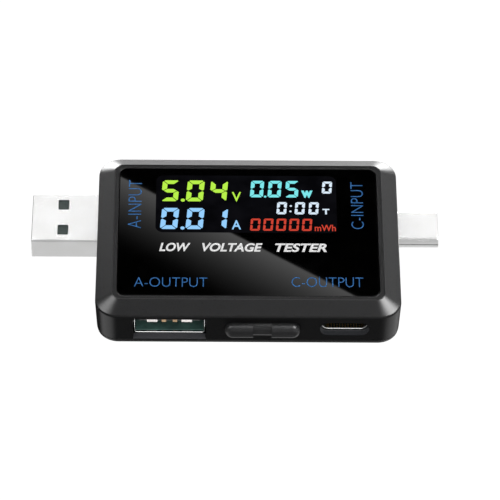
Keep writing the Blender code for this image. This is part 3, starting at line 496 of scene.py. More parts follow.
# ---- Case screws -----------------------------------------------------------------------
# Four zinc-plated pan-head screws, turned from wire, each with a cross recess in its head
# and a rolled thread that bites into the housing's bosses.
METAL = {"Metallic": 1.0}
# Bright zinc over turned steel: a soft shine, broken up by the tool's fine marks.
zinc = grained_finish(
    "zinc_plated_screw_steel", "#a9abad", "#c6c7c6", 0.4, (0.25, 0.4), METAL, Detail=2.0
)


def thread(radius, depth, pitch, low, high, steps=24):
    """A threaded rod: its radius falls by depth in a triangle wave of the height plus the
    angle's share of the pitch, so each crest climbs one pitch a turn."""
    level = np.linspace(low, high, int((high - low) / pitch * 6))[:, None]
    angle = np.linspace(0, 2 * np.pi, steps, endpoint=False)[None]
    wave = np.abs(((level / pitch - angle / (2 * np.pi)) % 1) * 2 - 1)
    run_out = np.clip(np.minimum(level - low, high - level) / pitch, 0, 1)
    reach = radius - depth * wave * run_out - 0.3 * (1 - np.clip((high - level) / 0.5, 0, 1))
    return skin(np.stack([reach * np.cos(angle), reach * np.sin(angle), level + 0 * angle], -1))


def cross_recess(width, arm, depth):
    """The two blades of a cross recess, tapering inwards from the head's face."""
    blades = []
    for size in ((width, arm), (arm, width)):
        profile = [(0, -1.0), (0, 0.05), (0.1, 0.05 + depth)]
        blades.append(skin(carried_round(profile, size, ([0, 0.1], [0.12, 0.03]), steps=2)))
    return blades


CASE_SCREW_ORDER = {1: 3, 2: 4, 3: 2, 4: 1}  # each place's solid, by number
HEAD_RADIUS, HEAD_LOW, HEAD_HIGH = 1.5, 0.05, 0.6
head_axis = HEAD_RADIUS - 0.02
head_corners = [
    (head_axis, HEAD_LOW, 0.05),
    (0.0, HEAD_LOW, 0.22),
    (0.0, HEAD_HIGH, 0.05),
    (head_axis, HEAD_HIGH, 0.05),
]
# The outline stops short of the axis at both ends, where flat caps close the head.
head_profile = eased(head_corners)[3:-3]
head_size, head_radii = (2 * HEAD_RADIUS, 2 * HEAD_RADIUS), ([0, HEAD_RADIUS], [HEAD_RADIUS, 0.0])
for index, (x, y) in enumerate(SCREW_PLACES, start=1):
    head = lifted(skin(carried_round(head_profile, head_size, head_radii)), (x, y, 0))
    screw = make(f"screw_{index}", zinc, head)
    carve(screw, lifted(thread(0.8, 0.13, 0.55, 0.5, 5.0), (x, y, 0)), operation="UNION")
    carve(screw, *[lifted(blade, (x, y, 0)) for blade in cross_recess(1.7, 0.34, 0.3)])
    settle(screw, "meter", "screw_steel", f"case_screw_{CASE_SCREW_ORDER[index]}")


# ---- Window ----------------------------------------------------------------------------
# A flat acrylic lens, printed black behind, with finely chamfered and polished edges. It
# lies in the bezel's recess. Handling leaves faint smears that only change its gloss.
LENS = (47.8, 32.2)
# Polished acrylic over black print: a clear mirror image in near black.
black_acrylic = grained_finish(
    "black_backed_polished_acrylic",
    "#010101",
    "#030303",
    7.14,
    (0.012, 0.03),
    {"IOR": 1.49},
    Detail=4.0,
    Distortion=1.5,
)
lens_profile = [(0.1, 8.5), (0.0, 8.6), (0.0, 9.2), (0.1, 9.3)]
window = make(
    "window",
    black_acrylic,
    skin(carried_round(lens_profile, LENS, ([0, 1.5], [1.5, 0.0]), steps=12)),
    sharp=20,
)
settle(window, "meter", "window_acrylic", "window_lens")


# ---- Display face ----------------------------------------------------------------------
# The clear part of the lens over the display cell: a very dark grey field with round
# corners, duller than the black print round it.
FACE_LEVEL = 9.302
FACE_LOW = (-17.1, -0.3)
FACE_HIGH = (16.45, 14.4)
# Matt polariser film: no mirror image, only a faint cloudiness.
display_film = grained_finish(
    "dark_display_polariser_film", "#08080b", "#101014", 4.55, 0.55, {"Specular IOR Level": 0.0}
)


def plate(low, high, radius, levels):
    """A flat plate with round corners between two opposite corners and two levels."""
    low, high = np.array(low, float), np.array(high, float)
    profile = [(0, levels[0]), (0, levels[1])]
    grid = carried_round(profile, high - low, ([0], [radius]))
    return lifted(skin(grid), (*(low + high) / 2, 0))


display_face = make(
    "display_face", display_film, plate(FACE_LOW, FACE_HIGH, 1.5, (9.2, FACE_LEVEL))
)
settle(display_face, "meter", "display_glass")


# ---- Display characters ----------------------------------------------------------------
# Lit segments of the colour display: barred numerals for voltage, current, power, time and
# energy, with their unit letters. They glow evenly, and don't shine.
CHARACTER_TOP = FACE_LEVEL + 0.014
DIGIT_BARS = {"0": "abcdef", "1": "bc", "4": "bcfg", "5": "acdfg"}
BAR_GAP = 0.13
SLANT = 0.07


def drawn_in(outline, distance):
    """A convex outline with every side moved inwards by a distance: each new corner is where
    its two moved sides cross, p + distance * (n1 + n2) / (1 + n1.n2) for unit normals n."""
    points = np.array(outline, float)
    side = np.roll(points, -1, 0) - points
    side /= np.linalg.norm(side, axis=1, keepdims=True)
    inward = np.stack([-side[:, 1], side[:, 0]], axis=-1)
    before = np.roll(inward, 1, 0)
    share = 1 + (inward * before).sum(1, keepdims=True)
    return points + distance * (inward + before) / share


def bars(width, height, bar, clip):
    """The seven bars of a numeral, as convex outlines that run anticlockwise and meet along
    the diagonals of its corners. The outer corners are clipped, and the lower bars mirror
    the upper ones in the middle line."""
    half, tip = height / 2, 0.3 * bar
    inner, outer = width - bar, width - clip / 2
    top = [
        (clip / 2, height - clip / 2),
        (bar, height - bar),
        (inner, height - bar),
        (outer, height - clip / 2),
        (width - clip, height),
        (clip, height),
    ]
    left = [
        (clip / 2, height - clip / 2),
        (0, height - clip),
        (0, half + tip),
        (tip, half),
        (bar, half + bar / 2),
        (bar, height - bar),
    ]
    middle = [
        (tip, half),
        (bar, half - bar / 2),
        (inner, half - bar / 2),
        (width - tip, half),
        (inner, half + bar / 2),
        (bar, half + bar / 2),
    ]
    right = [(width - x, y) for x, y in left[::-1]]
    lower = [[(x, height - y) for x, y in shape[::-1]] for shape in (top, left, right)]
    return dict(zip("afgbdec", (top, left, middle, right, *lower)))


def prism(outline, low, high):
    """An outline in the plane raised between two levels."""
    flat = np.array(outline, float)
    grid = np.stack([np.column_stack([flat, np.full(len(flat), z)]) for z in (low, high)])
    return skin(grid)


def numeral(digit, low, size, bar):
    """A numeral whose box has its lower left corner at low, leaning by SLANT."""
    width = size[0] - SLANT * size[1]
    shapes = bars(width, size[1], bar, 0.45 * bar)
    made = []
    for letter in DIGIT_BARS[digit]:
        flat = drawn_in(shapes[letter], BAR_GAP * bar / 2)
        flat[:, 0] += SLANT * flat[:, 1]
        made.append(prism(flat + low, FACE_LEVEL - 0.01, CHARACTER_TOP))
    return made


def dot(x, y, width):
    """A round point of the display."""
    return lifted(disc_cut(width / 2, FACE_LEVEL - 0.01, CHARACTER_TOP), (x, y, 0))


def lettering(text, low, high, top, slant=0.0, weight=0.0, upward=False):
    """A raised word that fills the box from low to high: letters of the plain built-in face,
    thickened by weight, leaning by slant, and turned to read upwards where asked."""
    curve = bpy.data.curves.new("word", "FONT")
    curve.body = text
    curve.shear = slant
    curve.offset = weight
    curve.extrude = 0.01
    curve.resolution_u = 5
    word = bpy.data.objects.new("word", curve)
    scene.collection.objects.link(word)
    graph = bpy.context.evaluated_depsgraph_get()
    mesh = bpy.data.meshes.new_from_object(word.evaluated_get(graph))
    points = np.empty(len(mesh.vertices) * 3)
    mesh.vertices.foreach_get("co", points)
    _, first, merged = np.unique(
        np.round(points.reshape(-1, 3), 5), axis=0, return_index=True, return_inverse=True
    )
    merged = merged.reshape(-1)
    points = points.reshape(-1, 3)[first]
    faces = [merged[list(polygon.vertices)].tolist() for polygon in mesh.polygons]
    faces = [face for face in faces if len(set(face)) == len(face)]
    bpy.data.objects.remove(word)
    bpy.data.curves.remove(curve)
    bpy.data.meshes.remove(mesh)
    if upward:
        points = points[:, [1, 0, 2]] * (-1, 1, 1)
    points = (points - points.min(0)) / np.ptp(points, axis=0)
    low, high = np.array((*low, top - 0.02)), np.array((*high, top))
    return low + points * (high - low), faces


def lit_segments(name, hex_value):
    """Light from the display's dyed segments: an even glow of one colour over a dull film."""
    glow = {
        "Specular IOR Level": 0.0,
        "Emission Color": linear(hex_value),
        "Emission Strength": 1.0,
    }
    return grained_finish(name, "#050505", "#0a0a0a", 1.111, 0.6, glow, Detail=2.0)


def show(name, finish, *surfaces):
    return settle(make(name, finish, *surfaces), "meter", "display_glass")


TOP_DIGIT, TOP_BAR = (3.7, 5.54), 1.08
show(
    "voltage_reading",
    lit_segments("green_lit_segments", "#b8f04a"),
    *numeral("5", (-16.3, 7.6), TOP_DIGIT, TOP_BAR),
    dot(-12.1, 7.95, 0.78),
    *numeral("0", (-11.65, 7.6), TOP_DIGIT, TOP_BAR),
    *numeral("4", (-7.3, 7.6), TOP_DIGIT, TOP_BAR),
    lettering("V", (-3.0, 7.68), (-1.29, 10.12), CHARACTER_TOP, weight=0.012),
)
show(
    "current_reading",
    lit_segments("blue_lit_segments", "#96d0ff"),
    *numeral("0", (-16.35, 0.46), TOP_DIGIT, TOP_BAR),
    dot(-12.1, 0.8, 0.78),
    *numeral("0", (-11.65, 0.46), TOP_DIGIT, TOP_BAR),
    *numeral("1", (-7.3, 0.46), TOP_DIGIT, TOP_BAR),
    lettering("A", (-3.0, 0.53), (-1.3, 2.86), CHARACTER_TOP, weight=0.012),
)
MIDDLE_DIGIT, MIDDLE_BAR = (2.85, 4.4), 0.82
show(
    "power_reading",
    lit_segments("cyan_lit_segments", "#7de8ec"),
    *numeral("0", (0.28, 8.74), MIDDLE_DIGIT, MIDDLE_BAR),
    dot(3.2, 8.98, 0.5),
    *numeral("0", (3.56, 8.74), MIDDLE_DIGIT, MIDDLE_BAR),
    *numeral("5", (6.78, 8.74), MIDDLE_DIGIT, MIDDLE_BAR),
    lettering("w", (9.9, 8.75), (12.04, 10.6), CHARACTER_TOP, weight=0.05),
)
SMALL_DIGIT, SMALL_BAR = (2.12, 3.2), 0.62
show(
    "time_reading",
    lit_segments("white_lit_segments", "#dcecfa"),
    *numeral("0", (13.68, 9.82), SMALL_DIGIT, SMALL_BAR),
    *numeral("0", (5.2, 4.42), SMALL_DIGIT, SMALL_BAR),
    dot(7.86, 5.2, 0.42),
    dot(7.95, 6.6, 0.42),
    *numeral("0", (8.56, 4.42), SMALL_DIGIT, SMALL_BAR),
    *numeral("0", (11.12, 4.42), SMALL_DIGIT, SMALL_BAR),
    lettering("T", (13.81, 4.5), (15.09, 5.9), CHARACTER_TOP, weight=0.035),
)
RED_PITCH = 2.39
energy = [
    surface
    for index in range(5)
    for surface in numeral("0", (0.3 + RED_PITCH * index, 0.2), (2.08, 3.15), 0.5)
]
show(
    "energy_reading",
    lit_segments("red_lit_segments", "#cf4433"),
    *energy,
    lettering("mWh", (12.3, 0.2), (16.2, 1.8), CHARACTER_TOP, weight=0.015),
)


# ---- Printing on the window ------------------------------------------------------------
# Screen-printed ink on the lens: a white title in heavy leaning capitals and four thin
# blue labels beside the ports. The ink is flat and dull, and a little uneven in its cover.
PRINT_TOP = 9.306


def ink(name, thin, full):
    """Screen-printed ink, whose shade varies with how thickly it was laid."""
    return grained_finish(name, thin, full, 0.714, 0.5, {"Specular IOR Level": 0.15}, Detail=2.0)


title = [
    lettering(text, (low, -5.1), (high, -2.95), PRINT_TOP, slant=0.25, weight=0.03)
    for text, low, high in (
        ("LOW", -16.33, -10.59),
        ("VOLTAGE", -8.45, 2.62),
        ("TESTER", 4.94, 14.46),
    )
]
white_ink = ink("white_screen_ink", "#f2f2f2", "#ffffff")
settle(make("title_print", white_ink, *title), "meter", "window_acrylic")
THIN = -0.014
labels = [
    lettering("A-INPUT", (-22.2, 0.7), (-19.75, 13.08), PRINT_TOP, weight=THIN, upward=True),
    lettering("C-INPUT", (19.1, 0.79), (21.4, 12.85), PRINT_TOP, weight=THIN, upward=True),
    lettering("A-OUTPUT", (-20.78, -13.95), (-7.45, -11.62), PRINT_TOP, weight=THIN),
    lettering("C-OUTPUT", (7.88, -13.81), (20.93, -11.41), PRINT_TOP, weight=THIN),
]
blue_ink = ink("blue_screen_ink", "#28609a", "#326fae")
settle(make("label_print", blue_ink, *labels), "meter", "window_acrylic")


# ---- Type A plug -----------------------------------------------------------------------
# A nickel-plated steel shell with rolled edges at its tip and two latch windows in each wide
# face. Inside it are a moulded tongue and four gold-flashed contacts.
# Bright nickel on smooth steel: a blurred mirror image, uneven where the sheet was worked.
nickel = grained_finish(
    "nickel_plated_folded_steel", "#f1f1f0", "#f8f8f8", 3.846, (0.16, 0.22), METAL, (0.3, 0.7)
)


def shell(size, radius, wall, length, lip):
    """A drawn shell: its wall's outline, with a round lip, carried round the port's shape."""
    outline = eased(
        [(0, -length, 0.03), (0, 0, lip), (wall, 0, lip), (wall, -length, 0.03)], steps=4
    )
    return skin(carried_round(outline, size, ([0, wall], [radius, radius - wall])), ring=True)


plug_a_tip = (plug_a_centre[0] - plug_a_size[0] / 2, plug_a_centre[1], plug_a_centre[2])
plug_a_face = (plug_a_size[1], plug_a_size[2])
plug_a_turn = -math.pi / 2
PLUG_A_RADIUS = 0.33
PLUG_A_WALL = 0.3
plug_a_shell = make(
    "type_a_plug_body",
    nickel,
    placed(
        shell(plug_a_face, PLUG_A_RADIUS, PLUG_A_WALL, plug_a_size[0], 0.13),
        plug_a_tip,
        plug_a_turn,
    ),
)
WINDOW_ALONG, WINDOW_ACROSS = 2.0, 2.5
WINDOW_FROM_TIP = 5.78  # to its middle
WINDOW_SIDE = 3.2
latch_windows = []
for side in (-WINDOW_SIDE, WINDOW_SIDE):
    for face in (-1, 1):
        grid = carried_round([(0, -0.5), (0, 0.5)], (WINDOW_ACROSS, WINDOW_ALONG), ([0], [0.16]))
        across, along, through = np.moveaxis(grid, -1, 0)
        level = face * plug_a_face[1] / 2 + through
        turned = np.stack([across + side, level, along - WINDOW_FROM_TIP], -1)
        points, faces = skin(turned)
        latch_windows.append(placed((points, [f[::-1] for f in faces]), plug_a_tip, plug_a_turn))

carve(plug_a_shell, *latch_windows)
settle(plug_a_shell, "meter", "nickel_shell", "type_a_plug_shell")


# ---- Type C plug -----------------------------------------------------------------------
# A seamless drawn shell with round sides and a rolled edge at its tip, round a moulded
# insulator whose slot holds two rows of twelve gold-flashed springs.
plug_c_tip = (plug_c_centre[0] + plug_c_size[0] / 2, plug_c_centre[1], plug_c_centre[2])
plug_c_turn = math.pi / 2
plug_c_face = (plug_c_size[1], plug_c_size[2])
PLUG_C_WALL = 0.25
plug_c_shell = make(
    "type_c_plug_body",
    nickel,
    placed(
        shell(plug_c_face, plug_c_face[1] / 2, PLUG_C_WALL, plug_c_size[0], 0.11),
        plug_c_tip,
        plug_c_turn,
    ),
)
settle(plug_c_shell, "meter", "nickel_shell", "type_c_plug_shell")

# A thin gold flash on bronze: warm, and slightly dull from the wiping of its mates.
gold = grained_finish(
    "gold_flashed_contact_bronze", "#c79a55", "#e2be7c", 0.5556, 0.3, METAL, Detail=2.0
)


def spring_row(count, pitch, width, stations, levels, thickness):
    """A row of flat springs side by side: each is a strip of even thickness whose level
    follows the given stations along the port."""
    made = []
    for place_x in (np.arange(count) - (count - 1) / 2) * pitch:
        rows = []
        for z, y in zip(stations, levels):
            edge = [(-1, 0), (1, 0), (1, 1), (-1, 1)]
            rows.append([(place_x + a * width / 2, y + b * thickness, z) for a, b in edge])
        made.append(skin(np.array(rows)))
    return made


ROW_COUNT, ROW_PITCH = 12, 0.5
SPRING_STATIONS = [-5.4, -4.0, -1.6, -1.0, -0.6]
SPRING_LEVELS = ([0.42, 0.42, 0.3, 0.3, 0.4], [-0.5, -0.5, -0.38, -0.38, -0.48])
springs = [
    spring
    for levels in SPRING_LEVELS
    for spring in spring_row(ROW_COUNT, ROW_PITCH, 0.24, SPRING_STATIONS, levels, 0.08)
]
plug_c_springs = make(
    "type_c_plug_springs",
    gold,
    *[placed(spring, plug_c_tip, plug_c_turn) for spring in springs],
)
settle(plug_c_springs, "meter", "gilt_contact")


# ---- Type A socket ---------------------------------------------------------------------
# A folded nickel-plated shell with rolled mouth edges and two bent leaf springs that grip
# the plug from below. A green moulded liner covers the front of its floor. The tongue is near
# the top, with two wide tinned and two narrow gold contacts. A lighter grey plate on the
# floor in its mouth is painted light: it stands in for the light that falls on that floor.
SOCKET_WALL = 0.29
socket_a_mouth = (
    socket_a_centre[0],
    socket_a_centre[1] - socket_a_size[1] / 2,
    socket_a_centre[2],
)
socket_a_face = (socket_a_size[0], socket_a_size[2])


def leaf(place, width, start, length, bulge, drop):
    """A gripping leaf: a thin strip that bends inwards by bulge * sin^2 of the share of its
    length, and starts and ends against the shell's floor, at drop below the middle."""
    share = np.linspace(0, 1, 13)[:, None]
    rise = 0.02 + bulge * np.sin(np.pi * share) ** 2
    edge_x = np.array([[-1, -1, 1, 1]]) * width / 2
    edge_y = np.array([[0, 0.16, 0.16, 0]])
    level = rise + edge_y - drop
    along = -start - share * length + 0 * edge_x
    return skin(np.stack([edge_x + place + 0 * share, level, along], -1))


SOCKET_RADIUS = 0.6
SOCKET_FLOOR = socket_a_face[1] / 2 - SOCKET_WALL
LEAF_WIDTH, LEAF_START, LEAF_LENGTH, LEAF_BULGE = 1.7, 6.4, 5.0, 0.3
leaves = [
    leaf(x, LEAF_WIDTH, LEAF_START, LEAF_LENGTH, LEAF_BULGE, SOCKET_FLOOR) for x in (-3.2, 3.2)
]
socket_a_tube = shell(socket_a_face, SOCKET_RADIUS, SOCKET_WALL, socket_a_size[1], 0.14)
socket_a_shell = make(
    "type_a_socket_body",
    nickel,
    *[placed(part, socket_a_mouth) for part in (socket_a_tube, *leaves)],
)
settle(socket_a_shell, "meter", "nickel_shell", "type_a_socket_shell")

# Glass-filled nylon: dull, with short fibres near its skin that speckle it.
nylon = grained_finish(
    "black_green_glass_filled_nylon", "#111b19", "#1b2725", 0.6667, 0.5, bump=0.1, Detail=4.0
)
# Dull tin over bronze: pale and satin, with fine crystal grains.
tinned = grained_finish(
    "tin_plated_contact_bronze",
    "#aaa6a4",
    "#bcb8b6",
    0.25,
    0.42,
    {"Metallic": 0.8},
    pattern="ShaderNodeTexVoronoi",
    Detail=0.0,
)


def wall_plate(name, finish, width, low, thickness, span, mouth):
    """A thin plate across a port. Its underside is at low, and it runs from the first to the
    second of span behind the mouth."""
    profile = [(0, -span[1]), (0, -span[0])]
    points, faces = skin(carried_round(profile, (width, thickness), ([0], [0.02]), steps=1))
    return make(name, finish, placed((points + (0, low + thickness / 2, 0), faces), mouth))


liner_nylon = grained_finish("pale_green_glass_filled_nylon", "#46605c", "#5a827a", 3.333, 0.5)
liner_width = socket_a_face[0] - 2 * SOCKET_WALL - 0.25
liner = wall_plate(
    "socket_liner", liner_nylon, liner_width, -SOCKET_FLOOR + 0.01, 0.1, (0.5, 6.0), socket_a_mouth
)
settle(liner, "meter", "dark_insulator")
# Painted light: the floor of the recess in front of the socket's mouth gets little light here, so a
# grey plate much lighter than the charcoal housing is laid on it to make that floor look lit.
sill_low = -socket_a_face[1] / 2 - 0.09
painted_lit_floor_abs = moulded_abs("grey_abs_painted_lit_floor", "#56565a", "#626266", 0.4, 0.16)
sill_width = socket_a_face[0] + 0.1
sill = wall_plate(
    "socket_sill_painted_lit", painted_lit_floor_abs, sill_width, sill_low, 0.05, (-1.35, -0.02), socket_a_mouth
)
settle(sill, "meter", "housing_plastic")


def finish_nodes(finish, *names):
    """CAD nodes whose shape is right keep it, and take a finish."""
    for name in names:
        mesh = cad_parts[name].data
        mesh.materials.clear()
        mesh.materials.append(finish)


finish_nodes(nylon, "type_a_plug_tongue", "type_a_socket_tongue")
finish_nodes(nylon, "type_c_plug_insulator", "type_c_plug_block", "type_c_socket_tongue")
finish_nodes(gold, *[f"type_a_plug_contact_{index}" for index in range(1, 5)])
worn_gold = grained_finish("worn_gold_on_bronze", "#7c6650", "#927c60", 1.111, 0.45, METAL)
finish_nodes(worn_gold, "type_a_socket_contact_2", "type_a_socket_contact_3")
finish_nodes(tinned, "type_a_socket_contact_1", "type_a_socket_contact_4")


# ---- Type C socket ---------------------------------------------------------------------
# A drawn shell sunk in the wall, with a thin tongue that carries twelve gold-flashed pads on
# each face. A thin grey sleeve faces the hole in front of it.
socket_c_mouth = (
    socket_c_centre[0],
    socket_c_centre[1] - socket_c_size[1] / 2,
    socket_c_centre[2],
)
socket_c_face = (socket_c_size[0], socket_c_size[2])
SOCKET_C_WALL = 0.4
SLEEVE_WALL = 0.04
socket_c_shell = make(
    "type_c_socket_body",
    nickel,
    placed(
        shell(socket_c_face, socket_c_face[1] / 2, SOCKET_C_WALL, socket_c_size[1], 0.12),
        socket_c_mouth,
    ),
)
settle(socket_c_shell, "meter", "nickel_shell", "type_c_socket_shell")
sleeve_face = (socket_c_face[0] + 0.09, socket_c_face[1] + 0.09)
sleeve_length = socket_c_mouth[1] - FRONT - 0.12
sleeve_place = (socket_c_mouth[0], FRONT + 0.1, socket_c_mouth[2])
sleeve_shape = shell(sleeve_face, sleeve_face[1] / 2, SLEEVE_WALL, sleeve_length, 0.005)
sleeve_abs = moulded_abs("dark_grey_moulded_abs", "#3c3d41", "#484a4e", 0.4, 0.16)
sleeve = make("socket_sleeve", sleeve_abs, placed(sleeve_shape, sleeve_place))
settle(sleeve, "meter", "housing_plastic")
PAD_STATIONS = [-4.6, -0.9]
pads = [
    pad
    for level in (0.33, -0.38)
    for pad in spring_row(ROW_COUNT, ROW_PITCH, 0.26, PAD_STATIONS, [level, level], 0.05)
]
socket_c_pads = make("type_c_socket_pads", gold, *[placed(pad, socket_c_mouth) for pad in pads])
settle(socket_c_pads, "meter", "gilt_contact")


# ---- Key -------------------------------------------------------------------------------
# One sprung ABS key with two domed lobes and a lower saddle between them, and a flange
# behind the wall that keeps it in. A nose on its back presses the switch.
key_abs = moulded_abs("charcoal_key_abs", "#242425", "#2e2e2f", 0.38, 0.14)
KEY_PROUD = 1.4
SADDLE_WIDTH = 3.4
SADDLE_DROP = 0.5
FLANGE = 0.6
FLANGE_RIM = 0.25
FLANGE_FRONT = -(WALL + PORT_GAP)
FLANGE_BACK = FLANGE_FRONT - FLANGE
NOSE_BACK = FLANGE_BACK - 0.7
NOSE_INSET = 0.72
DOME_RADIUS = 0.95

key_profile = eased(
    [
        (1.4, NOSE_BACK, 0.01),
        (NOSE_INSET, NOSE_BACK, 0.05),
        (NOSE_INSET, FLANGE_BACK, 0.02),
        (-FLANGE_RIM, FLANGE_BACK, 0.05),
        (-FLANGE_RIM, FLANGE_FRONT, 0.05),
        (0.0, FLANGE_FRONT, 0.02),
        (0.0, KEY_PROUD, DOME_RADIUS),
        (1.43, KEY_PROUD + 0.06, 0.005),
    ],
    steps=8,
)
key_radii = ([-FLANGE_RIM, 0, 1.44], [1.7, 1.45, 0.01])
key_body = skin(carried_round(key_profile[1:-1], KEY_SIZE, key_radii, steps=16))
key_place = (key_centre[0], FRONT, KEY_LEVEL)
key = make("key_cap", key_abs, placed(key_body, key_place))
saddle_cut = carried_round([(0, -0.3), (0, 3.0)], (SADDLE_WIDTH, 4.0), ([0], [0.1]))
carve(key, placed(skin(saddle_cut), key_place))
saddle_front = KEY_PROUD - SADDLE_DROP
half = KEY_SIZE[1] / 2 - 0.02
SADDLE_BACK = -1.2
SADDLE_RADIUS = 1.1
saddle_corners = [
    (-half, SADDLE_BACK, 0.01),
    (half, SADDLE_BACK, 0.01),
    (half, saddle_front, SADDLE_RADIUS),
    (-half, saddle_front, SADDLE_RADIUS),
]
saddle_outline = eased(saddle_corners, steps=10)
reach = SADDLE_WIDTH / 2 + 0.1
points, faces = prism(saddle_outline, -reach, reach)
carve(key, placed((points[:, [2, 0, 1]], faces), key_place), operation="UNION")
settle(key, "key", "key_plastic", "function_key")


# ---- Inner pieces ----------------------------------------------------------------------
# What the housing hides: the board and its components, the display cell with its light
# guide and strip, and the switch. Their solids are right, and each gets its real finish.
solder_mask = grained_finish("green_solder_mask", "#0c3a22", "#14502f", 2.0, 0.35)
finish_nodes(solder_mask, "main_board")
cell_glass = grained_finish("display_cell_glass", "#2a2d30", "#33373b", 3.333, 0.12)
finish_nodes(cell_glass, "display_cell")
guide_acrylic = grained_finish("white_light_guide_acrylic", "#e8ece8", "#f4f6f2", 2.5, 0.4)
finish_nodes(guide_acrylic, "light_guide")
amber = grained_finish("amber_polyimide_film", "#a8641c", "#c07a2c", 1.429, 0.3)
finish_nodes(amber, "display_ribbon")
white_nylon = grained_finish("white_moulded_nylon", "#e0e0da", "#ecece6", 1.111, 0.45)
finish_nodes(white_nylon, "switch_plunger", *[f"backlight_{index}" for index in range(1, 4)])
epoxy = grained_finish("black_moulded_epoxy", "#161617", "#232325", 0.625, 0.55)
finish_nodes(epoxy, "switch_body", "controller_chip", "protocol_chip", "regulator")
finish_nodes(epoxy, "input_switch_chip", "output_switch_chip")
finish_nodes(tinned, "switch_cover", "crystal")
ceramic = grained_finish("fired_tan_ceramic", "#9c7e5c", "#b4946e", 0.8333, 0.5)
finish_nodes(ceramic, *[f"filter_capacitor_{index}" for index in range(1, 5)])
alloy = grained_finish("shunt_alloy_strip", "#8a7a66", "#a08e78", 0.6667, 0.4, METAL)
finish_nodes(alloy, "shunt_resistor")
ferrite = grained_finish("pressed_grey_ferrite", "#4c4d50", "#5c5e61", 0.7692, 0.6)
finish_nodes(ferrite, "power_coil")


# ---- Studio ----------------------------------------------------------------------------
# A pale floor, a bright even surround and a black card whose mirror image darkens the
# window. A graded grey band on the card's lower side is the sheen seen across the window.
floor_white, tree, place = new_finish("pale_studio_floor")
facing = add_node(tree, "ShaderNodeNewGeometry").outputs["Backfacing"]
paper = add_node(tree, "ShaderNodeBsdfDiffuse", {"Color": linear("#ffffff")})
glow = add_node(tree, "ShaderNodeEmission", {"Color": linear("#ffffff"), "Strength": 1.06})
pale = add_node(tree, "ShaderNodeMixShader", {0: 0.97, 1: paper.outputs[0], 2: glow.outputs[0]})
clear = add_node(tree, "ShaderNodeBsdfTransparent")
close_with(
    tree, "ShaderNodeMixShader", {0: facing, 1: pale.outputs[0], 2: clear.outputs[0]}
)


def stage_sheet(name, finish, centre, size, level):
    """A level rectangle, facing up."""
    x, y = np.meshgrid((-size[0] / 2, size[0] / 2), (-size[1] / 2, size[1] / 2))
    points = np.stack([x + centre[0], y + centre[1], level + 0 * x], -1).reshape(-1, 3) * MM
    mesh = bpy.data.meshes.new(name)
    mesh.from_pydata(points.tolist(), [], [(0, 1, 3, 2)])
    mesh.materials.append(finish)
    sheet = bpy.data.objects.new(name, mesh)
    scene.collection.objects.link(sheet)
    return sheet


floor = stage_sheet("floor", floor_white, (0, 0), (4000, 4000), -0.02)
floor.visible_glossy = False
floor.visible_diffuse = False
floor.visible_shadow = False

CARD_LEVEL = 130.0  # the card, the sheen's edge across the window and how it fades, in mm
virtual_eye = camera_place * (1, 1, -1) + np.array([0, 0, 2 * RIM_LEVEL])
CARD_GROWTH = (CARD_LEVEL - RIM_LEVEL) / (RIM_LEVEL - virtual_eye[2])
EDGE_POINT = np.array([-24.0, 14.1])
EDGE_NORMAL = np.array([-0.5703, -0.8215])
FADE = 16.0
SHEEN = 1.55


def card_point(x, y):
    """Where the card is seen mirrored at a point of the window: the line from the camera's
    mirror image through the point, carried on to the card's level."""
    return np.array([x, y]) * (1 + CARD_GROWTH) - virtual_eye[:2] * CARD_GROWTH


card_finish, tree, place = new_finish("graded_black_card")
edge_start = card_point(*EDGE_POINT)
normal = EDGE_NORMAL / (1 + CARD_GROWTH)
across_edge = add_node(
    tree,
    "ShaderNodeVectorMath",
    {0: place, 1: (*(normal / MM).tolist(), 0.0)},
    operation="DOT_PRODUCT",
)
distance = add_node(
    tree,
    "ShaderNodeMath",
    {0: across_edge.outputs["Value"], 1: float(normal @ edge_start)},
    operation="SUBTRACT",
)
fading = add_node(
    tree,
    "ShaderNodeMapRange",
    {"Value": distance.outputs[0], "From Min": 0.0, "From Max": FADE, "To Min": 1.0, "To Max": 0.0},
)
curve_down = add_node(
    tree, "ShaderNodeMath", {0: fading.outputs["Result"], 1: 2.2}, operation="POWER"
)
below = add_node(
    tree,
    "ShaderNodeMapRange",
    {"Value": distance.outputs[0], "From Min": -0.15, "From Max": 0.15},
)
level = add_node(
    tree,
    "ShaderNodeMath",
    {0: curve_down.outputs[0], 1: below.outputs["Result"]},
    operation="MULTIPLY",
)
strength = add_node(
    tree, "ShaderNodeMath", {0: level.outputs[0], 1: SHEEN}, operation="MULTIPLY"
)
close_with(tree, "ShaderNodeEmission", {"Strength": strength.outputs[0]})
card_low, card_high = card_point(-24.6, -17.0), card_point(24.6, 17.0)
card = stage_sheet(
    "black_card",
    card_finish,
    (card_low + card_high) / 2,
    card_high - card_low,
    CARD_LEVEL,
)
for ray in ("camera", "diffuse", "transmission", "volume_scatter", "shadow"):
    setattr(card, f"visible_{ray}", False)

# The surround, by direction. Camera rays see white. Glossy rays see a level that follows
# height, falls off to the left, and rises in a few soft boxes. Other rays see an even dome.
world = bpy.data.worlds.new("studio_surround")
scene.world = world
world.use_nodes = True
world.cycles.sampling_method = "NONE"
tree = world.node_tree
tree.nodes.clear()
direction = add_node(tree, "ShaderNodeTexCoord").outputs["Generated"]
parts = add_node(tree, "ShaderNodeSeparateXYZ", {"Vector": direction})
height = add_node(
    tree, "ShaderNodeMapRange", {"Value": parts.outputs["Z"], "From Min": -1.0, "From Max": 1.0}
)
HEIGHT_LEVELS = [
    (0.0, 1.2),
    (0.03, 0.6),
    (0.07, 0.04),
    (0.30, 0.08),
    (0.40, 0.5),
    (0.45, 0.9),
    (0.70, 0.66),
    (0.87, 0.7),
    (0.97, 0.66),
]
ramp = add_node(tree, "ShaderNodeValToRGB", {"Fac": height.outputs["Result"]})
while len(ramp.color_ramp.elements) < len(HEIGHT_LEVELS):
    ramp.color_ramp.elements.new(0.5)
for element, (position, value) in zip(ramp.color_ramp.elements, HEIGHT_LEVELS):
    element.position = position
    element.color = (value / 1.5, value / 1.5, value / 1.5, 1.0)
